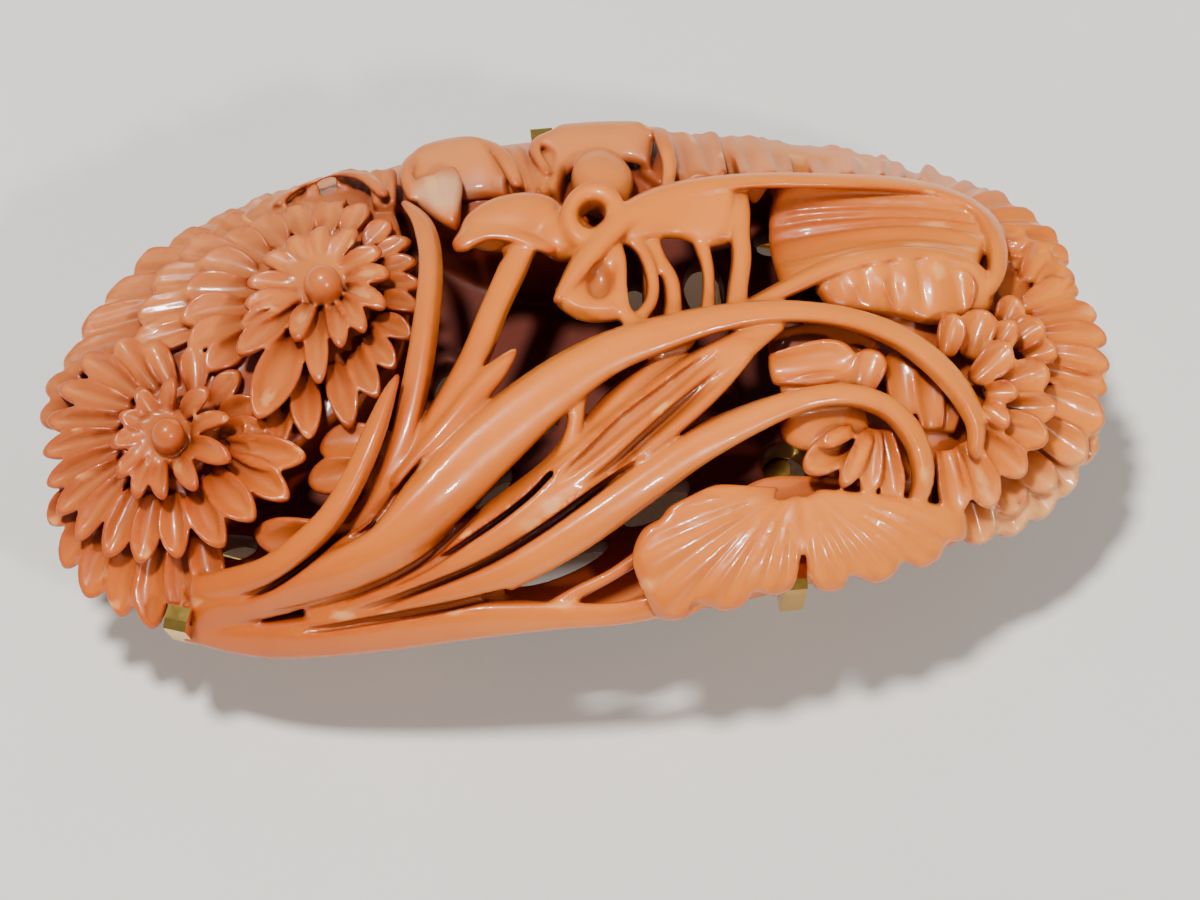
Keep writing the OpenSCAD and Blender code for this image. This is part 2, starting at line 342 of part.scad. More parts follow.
module boss(x, y, h, d, tall) {
    p = carved([x, y, h]);
    hull() {
        translate(p)
            sphere(d = d, $fn = d > 1.8 ? 8 : 6);
        translate(p - [0, 0, tall])
            sphere(d = d * 0.8, $fn = 4);
    }
}

// Columns: x, y, height of the centre over the dome, diameter, depth
bosses = [
    [-20, -3.4, 0.1, 1.7, 1.6], [-12, 3.4, 0, 2, 1.8], [-1.9, 6.4, -0.9, 3, 2.2], [0.2, 4.6, -1, 2, 2],
    [14, -4, -0.3, 1.4, 1.8], [13, -6.4, -0.4, 1.2, 1.6], [10.6, -3.6, -1, 1.6, 1.6],
    [18.6, -5, -1.4, 1.6, 1.6]];

module curl_ring(x, y, h) {
    translate(carved([x, y, h]))
        rotate([-25, 15, 0])
            scale([1, 1.25, 1])
                rotate_extrude($fn = 9)
                    translate([0.95, 0])
                        circle(d = 0.9, $fn = 5);
}

module coral_carving() {
    color(coral)
        difference() {
            translate([0, coral_y, 0])
                union() {
                    openwork_floor();
                    for (b = [left_bed, right_bed, far_bed, cup_bed, root_bed, plate_bed])
                        bed(b);
                    for (b = [blade_front, blade_tall, blade_hooded, blade_main, blade_broad,
                            blade_low, blade_arc, arch_left, arch_right])
                        blade(b);
                    for (b = [blade_rim, blade_spur, blade_inner, blade_shelf, blade_under,
                            strut_cross, rib_almond, rib_first, rib_second, rib_third])
                        blade(b, rib_section);
                    for (rows = [lower_flower, upper_flower, right_flower, curl_flower, folded_flower,
                            small_lobes, far_plates, arch_faces, leaf_faces])
                        petals(rows);
                    fan(plate_leaf, 1);
                    curl_ring(1.4, 5.9, -0.3);
                    for (b = bosses)
                        boss(b[0], b[1], b[2], b[3], b[4]);
                }
            claw_notches();
        }
}

// Claws. Columns: outer face x, y, turn, length of the foot, height of the top, length bent over,
// opening outside the claw, opening over it
claw_rows = [
    [-20.5, -12.1, 250, 5.6, 9, 1.3, 2, 3], [9.2, -13.5, 270, 3.2, 9.9, 1.3, 2, 3],
    [25.9, -3, 342, 3.5, 9.6, 1.3, 2, 3], [23.1, 1.8, 5, 1.2, 10.4, 1.2, 0.1, 0.5],
    [-0.4, 13.6, 90, 3, 11.6, 1.2, 2, 3], [-9.6, 12.6, 100, 2.8, 9.8, 1.2, 2, 3]];

// The side of a claw: out along the foot, up the post, and over at the top
function claw_side(reach, top, bend) = [
    [0, foot_z], [reach - splay - 0.3, foot_z], [reach - splay, foot_z + 0.3],
    [reach, top - 0.45], [reach - 0.35, top],
    [reach - bend + 0.2, top], [reach - bend, top - 0.25], [reach - bend, top - claw_t],
    [reach - claw_t - 0.1, top - claw_t], [reach - claw_t, top - claw_t - 0.1],
    [reach - splay - claw_t, foot_z + claw_t + 0.1], [reach - splay - claw_t - 0.1, foot_z + claw_t],
    [0, foot_z + claw_t]];
function notch_side(reach, top, bend, out, over) = [
    [reach - splay - claw_t - claw_gap, foot_z], [reach + out, foot_z], [reach + out, top + over],
    [reach - bend - claw_gap, top + over], [reach - bend - claw_gap, top - claw_t - claw_gap],
    [reach - claw_t - 0.1 - claw_gap, top - claw_t - claw_gap],
    [reach - claw_t - claw_gap, top - claw_t - 0.1 - claw_gap],
    [reach - splay - claw_t - claw_gap, foot_z + claw_t + 0.1]];

module upright(r, width) {
    translate([r[0], r[1], 0])
        rotate([0, 0, r[2]])
            translate([-r[3], width / 2, 0])
                rotate([90, 0, 0])
                    linear_extrude(width)
                        children();
}

module claws() {
    for (r = claw_rows)
        upright(r, claw_w)
            polygon(claw_side(r[3], r[4], r[5]));
}

module claw_notches() {
    for (r = claw_rows)
        upright(r, claw_w + 2 * claw_gap)
            polygon(notch_side(r[3], r[4], r[5], r[6], r[7]));
}

module oval_wire() {
    for (side = [0, 180])
        rotate([0, 0, side]) {
            translate([oval_a - oval_end_r, 0, wire_z])
                rotate([0, 0, -side_turn])
                    rotate_extrude(angle = 2 * side_turn)
                        translate([oval_end_r, 0])
                            circle(d = wire_d);
            translate([0, oval_b - side_r, wire_z])
                rotate([0, 0, side_turn])
                    rotate_extrude(angle = 180 - 2 * side_turn)
                        translate([side_r, 0])
                            circle(d = wire_d);
            // Solder at the joints of the arcs
            for (m = [-1, 1])
                translate([oval_a - oval_end_r, 0, wire_z])
                    rotate([0, 0, m * side_turn])
                        translate([oval_end_r, 0, 0])
                            sphere(d = wire_d + 0.12);
        }
}

module cord_loop(x) {
    difference() {
        translate([x - loop_w / 2, -cord_w / 2 - strip_t, 0])
            cube([loop_w, cord_w + 2 * strip_t, bar_top]);
        translate([x - loop_w, -cord_w / 2, strip_t])
            cube([2 * loop_w, cord_w, cord_h]);
    }
    translate([x - loop_w / 2, -oval_b + 0.6, bar_top - 0.8])
        cube([loop_w, 2 * oval_b - 1.2, 0.8]);
}

module mount_frame() {
    color(gold)
        union() {
            oval_wire();
            cord_loop(-loop_x);
            cord_loop(loop_x);
            claws();
        }
}

coral_carving();
mount_frame();
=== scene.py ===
import math

import bpy
import numpy as np
import openvdb
from mathutils import Matrix, Vector


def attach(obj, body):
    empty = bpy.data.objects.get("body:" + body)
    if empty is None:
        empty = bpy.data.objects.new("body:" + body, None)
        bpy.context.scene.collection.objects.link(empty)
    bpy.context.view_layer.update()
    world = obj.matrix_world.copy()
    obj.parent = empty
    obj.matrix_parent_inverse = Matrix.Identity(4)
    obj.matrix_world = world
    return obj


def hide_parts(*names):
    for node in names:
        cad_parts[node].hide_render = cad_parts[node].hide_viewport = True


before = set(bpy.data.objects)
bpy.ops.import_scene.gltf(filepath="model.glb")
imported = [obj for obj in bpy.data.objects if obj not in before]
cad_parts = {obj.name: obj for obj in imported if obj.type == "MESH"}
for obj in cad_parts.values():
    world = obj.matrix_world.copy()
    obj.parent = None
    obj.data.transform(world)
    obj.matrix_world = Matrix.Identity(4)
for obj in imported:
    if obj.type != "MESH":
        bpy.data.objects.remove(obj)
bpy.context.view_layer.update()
MM = 0.001

# The camera and the light
VIEW_TURN = math.radians(-6)
VIEW_RISE = math.radians(58)
VIEW_REACH = 220
VIEW_LENS = 134.64
SENSOR = 36
# The point that the camera looks at: its height, and the shift along the picture's sides, in millimetres
AIM_Z, AIM_RIGHT, AIM_DOWN = 10, 1.127, 3.725


def put_camera():
    back = Vector((math.sin(VIEW_TURN) * math.cos(VIEW_RISE), -math.cos(VIEW_TURN) * math.cos(VIEW_RISE),
                   math.sin(VIEW_RISE)))
    right = Vector((math.cos(VIEW_TURN), math.sin(VIEW_TURN), 0))
    up = back.cross(right)
    target = Vector((0, CORAL_Y, AIM_Z)) + right * AIM_RIGHT - up * AIM_DOWN
    lens = bpy.data.cameras.new("camera")
    lens.sensor_width = SENSOR
    lens.lens = VIEW_LENS
    lens.clip_start = 0.005
    lens.clip_end = 20
    camera = bpy.data.objects.new("camera", lens)
    turn = Matrix((right, up, back)).transposed().to_4x4()
    camera.matrix_world = Matrix.Translation((target + back * VIEW_REACH) * MM) @ turn
    bpy.context.scene.collection.objects.link(camera)
    bpy.context.scene.camera = camera


def put_light(name, place, aim, size, watts, colour):
    lamp = bpy.data.lights.new(name, "AREA")
    lamp.shape = "DISK"
    lamp.size = size
    lamp.energy = watts
    lamp.color = colour
    ob = bpy.data.objects.new(name, lamp)
    place, aim = Vector(place), Vector(aim)
    turn = (place - aim).to_track_quat("Z", "Y").to_matrix().to_4x4()
    ob.matrix_world = Matrix.Translation(place) @ turn
    bpy.context.scene.collection.objects.link(ob)


# The carved block, in millimetres: its flat back, its dome, and the middle of its outline
BACK_Z, RIM_Z, DOME_RISE, DOME_A, DOME_B = 6.4, 9.0, 6.5, 26.6, 14.6
CORAL_Y = -0.55
# The dome runs straight down from where this share of its plan is left
DOME_EDGE, EDGE_START, EDGE_FALL = 0.09, 0.15, 0.6
# Heights over the dome lean towards the viewer
LEAN = 0.62
FLOOR_T = 1.5
# The field of distances that the tools cut: its step, its corners, and its longest distance
STEP = 0.11
LOW = np.array([-27.2, -15.6, 6.0])
HIGH = np.array([27.2, 15.6, 17.2])
FAR = 0.6
TINY = 1e-9
count = np.ceil((HIGH - LOW) / STEP).astype(int) + 1
GX, GY, GZ = (np.float32(LOW[k]) + np.arange(count[k], dtype=np.float32) * np.float32(STEP)
              for k in range(3))


def dome_z(x, y):
    inside = 1 - (x / DOME_A) ** 2 - (y / DOME_B) ** 2
    arch, straight = np.sqrt(np.maximum(DOME_EDGE, inside)), EDGE_START + inside / EDGE_FALL
    return RIM_Z + DOME_RISE * np.where(inside > DOME_EDGE, arch, straight)


def carved(x, y, h):
    """The place of a point given by x and y on the dome and its height over it."""
    return np.array([x, y - LEAN * h + CORAL_Y, dome_z(x, y) + h], float)


def lay_out(x, y, z):
    """Where a point of the block lies on the dome as seen from the front, and its height over it."""
    y = y - CORAL_Y
    seen = y + LEAN * (z - dome_z(x, y))
    for _ in range(3):
        inside = np.maximum(DOME_EDGE, 1 - (x / DOME_A) ** 2 - (seen / DOME_B) ** 2)
        slope = -DOME_RISE * seen / DOME_B ** 2 / np.sqrt(inside)
        miss = seen - y - LEAN * (z - dome_z(x, seen))
        seen = seen - miss / np.maximum(0.3, 1 + LEAN * slope)
    return seen, z - dome_z(x, seen)


SEEN_Y, OVER = lay_out(GX[:, None, None], GY[None, :, None], GZ[None, None, :])
SEEN_Y, OVER = SEEN_Y.astype(np.float32), OVER.astype(np.float32)


def unit(v):
    return v / max(TINY, np.linalg.norm(v))


def smooth(rows, n):
    """A smooth curve through rows of numbers."""
    rows = np.array(rows, float)
    out = []
    for i in range(len(rows) - 1):
        a, b, c, d = rows[max(i - 1, 0)], rows[i], rows[i + 1], rows[min(i + 2, len(rows) - 1)]
        for k in range(n):
            t = k / n
            out.append(0.5 * (2 * b + (c - a) * t + (2 * a - 5 * b + 4 * c - d) * t ** 2
                              + (3 * b - a - 3 * c + d) * t ** 3))
    return np.array(out + [rows[-1]])


def ramp(v, low, high):
    t = np.clip((v - low) / (high - low), 0, 1)
    return t * t * (3 - 2 * t)


class Block:
    """A field of distances to a surface, cut and built up inside boxes."""

    def __init__(self):
        self.far = np.full(tuple(count), FAR, np.float32)

    def window(self, low, high):
        a = np.clip(np.floor((np.array(low) - LOW) / STEP).astype(int), 0, count)
        b = np.clip(np.ceil((np.array(high) - LOW) / STEP).astype(int) + 1, 0, count)
        return tuple(slice(int(a[k]), int(b[k])) for k in range(3))

    def add(self, w, d, blend=0.0):
        here = self.far[w]
        d = np.minimum(d, FAR).astype(np.float32)
        if blend:
            mix = np.clip(0.5 + 0.5 * (here - d) / blend, 0, 1)
            d = here * (1 - mix) + d * mix - blend * mix * (1 - mix)
        self.far[w] = np.minimum(here, d)

    def cut(self, w, d, blend=0.0):
        here = self.far[w]
        d = -d
        if blend:
            mix = np.clip(0.5 - 0.5 * (here - d) / blend, 0, 1)
            d = here * (1 - mix) + d * mix + blend * mix * (1 - mix)
        self.far[w] = np.maximum(here, d).astype(np.float32)

    def join(self, other, blend):
        self.add((slice(None),) * 3, other.far, blend)

    def add_mesh(self, points, quads, blend=0.0):
        w = self.window(points.min(0) - FAR, points.max(0) + FAR)
        grid = openvdb.FloatGrid.createLevelSetFromPolygons(
            (points - LOW).astype(np.float32), quads=quads.astype(np.uint32),
            transform=openvdb.createLinearTransform(STEP), halfWidth=FAR / STEP)
        d = np.empty(self.far[w].shape, np.float32)
        grid.copyToArray(d, ijk=tuple(s.start for s in w))
        self.add(w, d, blend)


def corners_window(block, points, reach):
    points = np.array(points)
    return block.window(points.min(0) - reach, points.max(0) + reach)


def grids(w):
    return GX[w[0]][:, None, None], GY[w[1]][None, :, None], GZ[w[2]][None, None, :]


def rounded(flat, deep, r):
    """Distance to a form bounded by two distances, its edge rounded."""
    a, b = flat + r, deep + r
    return np.hypot(np.maximum(a, 0), np.maximum(b, 0)) + np.minimum(np.maximum(a, b), 0) - r


BLADE_ROUND, BLADE_BLEND = 0.45, 0.06


def blade(block, rows, crown=0.22, groove=False):
    """A leaf blade, or a groove of its form. Columns: x, y, height over the dome, width, thickness, tilt."""
    line = smooth(rows, 5)
    side = np.gradient(line[:, :2], axis=0)
    side = side / np.maximum(TINY, np.linalg.norm(side, axis=1))[:, None]
    side = np.stack([side[:, 1], -side[:, 0]], 1)
    reach = line[:, 3:5].max() / 2 + FAR
    for i in range(len(line) - 1):
        a, b = line[i], line[i + 1]
        ends = [carved(p[0], p[1], p[2] - k * p[4]) for p in (a, b) for k in (0, 1)]
        w = corners_window(block, ends, reach)
        x, y, h = GX[w[0]][:, None, None], SEEN_Y[w], OVER[w]
        run = b[:3] - a[:3]
        t = ((x - a[0]) * run[0] + (y - a[1]) * run[1]) / max(TINY, run[0] ** 2 + run[1] ** 2)
        t = np.clip(t, 0, 1)
        s = side[i] * (1 - t)[..., None] + side[i + 1] * t[..., None]
        px, py = x - a[0] - run[0] * t, y - a[1] - run[1] * t
        wide, thick = (a[3] + (b[3] - a[3]) * t) / 2, (a[4] + (b[4] - a[4]) * t) / 2
        across = px * s[..., 0] + py * s[..., 1]
        along = np.hypot(px, py) ** 2 - across ** 2
        tilt = np.radians(a[5] + (b[5] - a[5]) * t)
        up = h - a[2] - run[2] * t + thick
        c, q = np.cos(tilt), np.sin(tilt)
        p, r = across * c + up * q, up * c - across * q
        deep = np.maximum(r - thick + crown * wide * np.minimum(1, (p / wide) ** 2), -r - thick)
        d = rounded(np.abs(p) - wide, deep, BLADE_ROUND * np.minimum(wide, thick))
        d = np.hypot(np.maximum(d, 0), np.sqrt(np.maximum(along, 0))) + np.minimum(d, 0)
        (block.cut if groove else block.add)(w, d, BLADE_BLEND)


# Petals face partly out of the dome and partly to the viewer, and no two twist and sway the same
VIEWER = np.array([0, -0.53, 0.85])
TO_VIEWER, TWIST, SWAY = 0.5, 0.18, 0.05
RIM_AT, RIM_WIDTH, LINE_DEPTH, TIP_CURL = 0.84, 0.2, 0.09, 0.25


def petal(block, row, thick=0.4, full=0.62, narrow=0.42, bow=0.12, rim=0.08, lines=0.0, keel=0.3, power=2.0):
    """A petal. Columns: root x, y, tip x, y, width, height over the dome at root and tip, cup of the edges.

    full is where it is widest, narrow its share of the width at the root, bow its rise along the middle,
    rim the raised edge, lines the lines along it, keel the added thickness under its middle.
    """
    x0, y0, x1, y1, width, h0, h1, cup = row
    root, tip = carved(x0, y0, h0), carved(x1, y1, h1)
    mid = (root + tip) / 2
    inside = max(0.12, 1 - (mid[0] / DOME_A) ** 2 - (mid[1] / DOME_B) ** 2)
    out = np.array([DOME_RISE * mid[0] / DOME_A ** 2 / math.sqrt(inside),
                    DOME_RISE * mid[1] / DOME_B ** 2 / math.sqrt(inside), 1.0])
    length = np.linalg.norm(tip - root)
    along = unit(tip - root)
    out = unit(unit(out) + TO_VIEWER * VIEWER)
    out = unit(out + TWIST * math.sin(3 * x1 - 4 * y1) * np.cross(along, out))
    sway = SWAY * width * math.sin(7 * x1 + 5 * y1)
    across = unit(np.cross(along, out))
    face = unit(np.cross(across, along))
    half = width / 2
    w = corners_window(block, [root, tip], half + thick + abs(cup) + 0.4)
    x, y, z = (g - root[k] for k, g in enumerate(grids(w)))
    u = (x * along[0] + y * along[1] + z * along[2]) / length
    v = x * across[0] + y * across[1] + z * across[2]
    n = x * face[0] + y * face[1] + z * face[2]
    v = v - sway * np.sin(np.clip(u, 0, 1) * np.pi)
    grow = narrow + (1 - narrow) * np.sin(np.clip(u / full, 0, 1) * np.pi / 2)
    past = np.maximum(0, (u - full) / (1 - full))
    rounded_end = (past ** power + (np.abs(v) / half) ** power) ** (1 / power)
    r = np.where(u > full, rounded_end, np.abs(v) / (half * grow))
    flat = (r - 1) * half * np.where(u > full, np.minimum(1, (1 - full) * length / half), grow)
    flat = np.maximum(flat, -u * length)
    top = cup * np.minimum(r, 1.1) ** 2 + bow * 4 * u * (1 - u) - TIP_CURL * past ** 2
    top = top + rim * np.exp(-((r - RIM_AT) * half / RIM_WIDTH) ** 2)
    if lines:
        top = top - LINE_DEPTH * np.cos(np.pi * lines * v / half) * np.clip(1.4 - r, 0, 1)
    under = thick + keel * (1 - np.minimum(r, 1) ** 2)
    deep = np.abs(n - top + under / 2) - under / 2
    block.add(w, rounded(flat, deep, thick * 0.3))


def turned(w, centre, turn):
    """The block's points in a window, from a centre and turned in the plane by an angle in degrees."""
    x, y, z = (g - centre[k] for k, g in enumerate(grids(w)))
    c, s = math.cos(math.radians(turn)), math.sin(math.radians(turn))
    return x * c + y * s, y * c - x * s, z


def egg(block, x, y, h, size, turn):
    """A rounded mass: its window, and the distances to it."""
    centre = carved(x, y, h)
    w = block.window(centre - max(size) - FAR, centre + max(size) + FAR)
    x, y, z = turned(w, centre, turn)
    r = np.sqrt((x / size[0]) ** 2 + (y / size[1]) ** 2 + (z / size[2]) ** 2)
    return w, (r - 1) * min(size)


def ring(block, x, y, h, size, thick, turn, blend):
    """A curled leaf end: its half lengths to the middle of its wall, and the wall's half thickness."""
    centre = carved(x, y, h)
    w = block.window(centre - max(size) - 2 * thick, centre + max(size) + 2 * thick)
    x, y, z = turned(w, centre, turn)
    wall = (np.sqrt((x / size[0]) ** 2 + (y / size[1]) ** 2) - 1) * min(size)
    block.add(w, np.hypot(wall, np.maximum(np.abs(z + thick) - thick, 0)) - thick, blend)


SHEET_EDGE, SHEET_BLEND = 0.4, 0.1


def sheet(block, rows, thick=0.8, n=5, flutes=0, flute=0.0):
    """A curved leaf face over rows of points. Columns: x, y, height over the dome."""
    net = np.stack([smooth(row, n) for row in rows])
    net = np.stack([smooth(net[:, k], n) for k in range(net.shape[1])], 1)
    x, y, h = net[..., 0], net[..., 1], net[..., 2]
    place = np.stack([x, y - LEAN * h + CORAL_Y, dome_z(x, y) + h], -1)
    down, across = np.gradient(place, axis=0), np.gradient(place, axis=1)
    face = np.cross(down, across)
    face = face / np.maximum(TINY, np.linalg.norm(face, axis=-1))[..., None]
    if face[..., 2].mean() < 0:
        face = -face
    a = np.cumsum(np.linalg.norm(down, axis=-1), axis=0)
    b = np.cumsum(np.linalg.norm(across, axis=-1), axis=1)
    near = np.minimum(np.minimum(a - a[:1], a[-1:] - a), np.minimum(b - b[:, :1], b[:, -1:] - b))
    half = thick / 2 * np.sqrt(1 - (1 - np.clip(near / SHEET_EDGE, 0, 1)) ** 2) + 0.02
    lift = 0.0
    if flutes:
        v = np.linspace(0, 1, net.shape[1])[None, :]
        lift = (flute * (np.abs(np.sin(np.pi * flutes * v)) - 0.6) * np.clip(near / 1.2, 0.2, 1))[..., None]
    top, low = place + face * (half[..., None] + lift), place + face * (lift - half[..., None])
    r, c = x.shape
    number = np.arange(r * c).reshape(r, c)
    flat = np.stack([number[:-1, :-1], number[:-1, 1:], number[1:, 1:], number[1:, :-1]], -1)
    flat = flat.reshape(-1, 4)
    rim = np.concatenate([number[0, :-1], number[:-1, -1], number[-1, :0:-1], number[:0:-1, 0]])
    rim_next = np.roll(rim, -1)
    walls = np.stack([rim, rim_next, rim_next + r * c, rim + r * c], -1)
    quads = np.concatenate([flat, flat[:, ::-1] + r * c, walls[:, ::-1]])
    points = np.concatenate([top.reshape(-1, 3), low.reshape(-1, 3)])
    block.add_mesh(points, quads, SHEET_BLEND)


def outline_field(x, y, rows):
    """Distance to a closed outline in the plane, less than nothing inside it."""
    px, py = rows[:, 0], rows[:, 1]
    best = np.full(np.broadcast(x, y).shape, 1e9, np.float32)
    odd = np.zeros(best.shape, bool)
    for i in range(len(rows)):
        ax, ay, bx, by = px[i - 1], py[i - 1], px[i], py[i]
        ex, ey = bx - ax, by - ay
        t = np.clip(((x - ax) * ex + (y - ay) * ey) / max(TINY, ex * ex + ey * ey), 0, 1)
        best = np.minimum(best, (x - ax - ex * t) ** 2 + (y - ay - ey * t) ** 2)
        odd ^= ((ay > y) != (by > y)) & (x < ex * (y - ay) / (ey if ey else TINY) + ax)
    best = np.sqrt(best)
    return np.where(odd, -best, best)


def closed(rows):
    """A smooth closed outline through points."""
    n = 4
    return smooth(rows[-1:] + rows + rows[:2], n)[n:-n - 1]


def bed(block, rows, depth):
    """A solid mass under the flowers and leaves: its outline on the dome, and its depth under it."""
    rows = closed(rows)
    low = (rows[:, 0].min() - 1.5, rows[:, 1].min() - 1.5 + CORAL_Y, BACK_Z - 0.4)
    high = (rows[:, 0].max() + 1.5, rows[:, 1].max() + 3.5 + CORAL_Y, HIGH[2])
    w = block.window(low, high)
    x, y, h = GX[w[0]][:, None, None], SEEN_Y[w], OVER[w]
    x2, y2 = x[:, :, 0], GY[w[1]][None, :] - CORAL_Y - LEAN * depth
    side = outline_field(x2, y2, rows)[:, :, None]
    top = h + depth - 0.25 * ramp(-side, 0, 2.5)
    block.add(w, np.maximum(rounded(side, top * 0.85, 0.3), BACK_Z - GZ[w[2]][None, None, :]), 0.4)


def hole(block, x, y, across, along, turn):
    """An oval hole through the floor, straight down."""
    y = y + CORAL_Y
    w = block.window((x - across - along, y - across - along, BACK_Z - 1),
                     (x + across + along, y + across + along, BACK_Z + FLOOR_T + 1))
    u, v, z = turned(w, (x, y, 0), turn)
    d = (np.sqrt((u / across) ** 2 + (v / along) ** 2) - 1) * min(across, along)
    block.cut(w, d + 0 * z, 0.15)


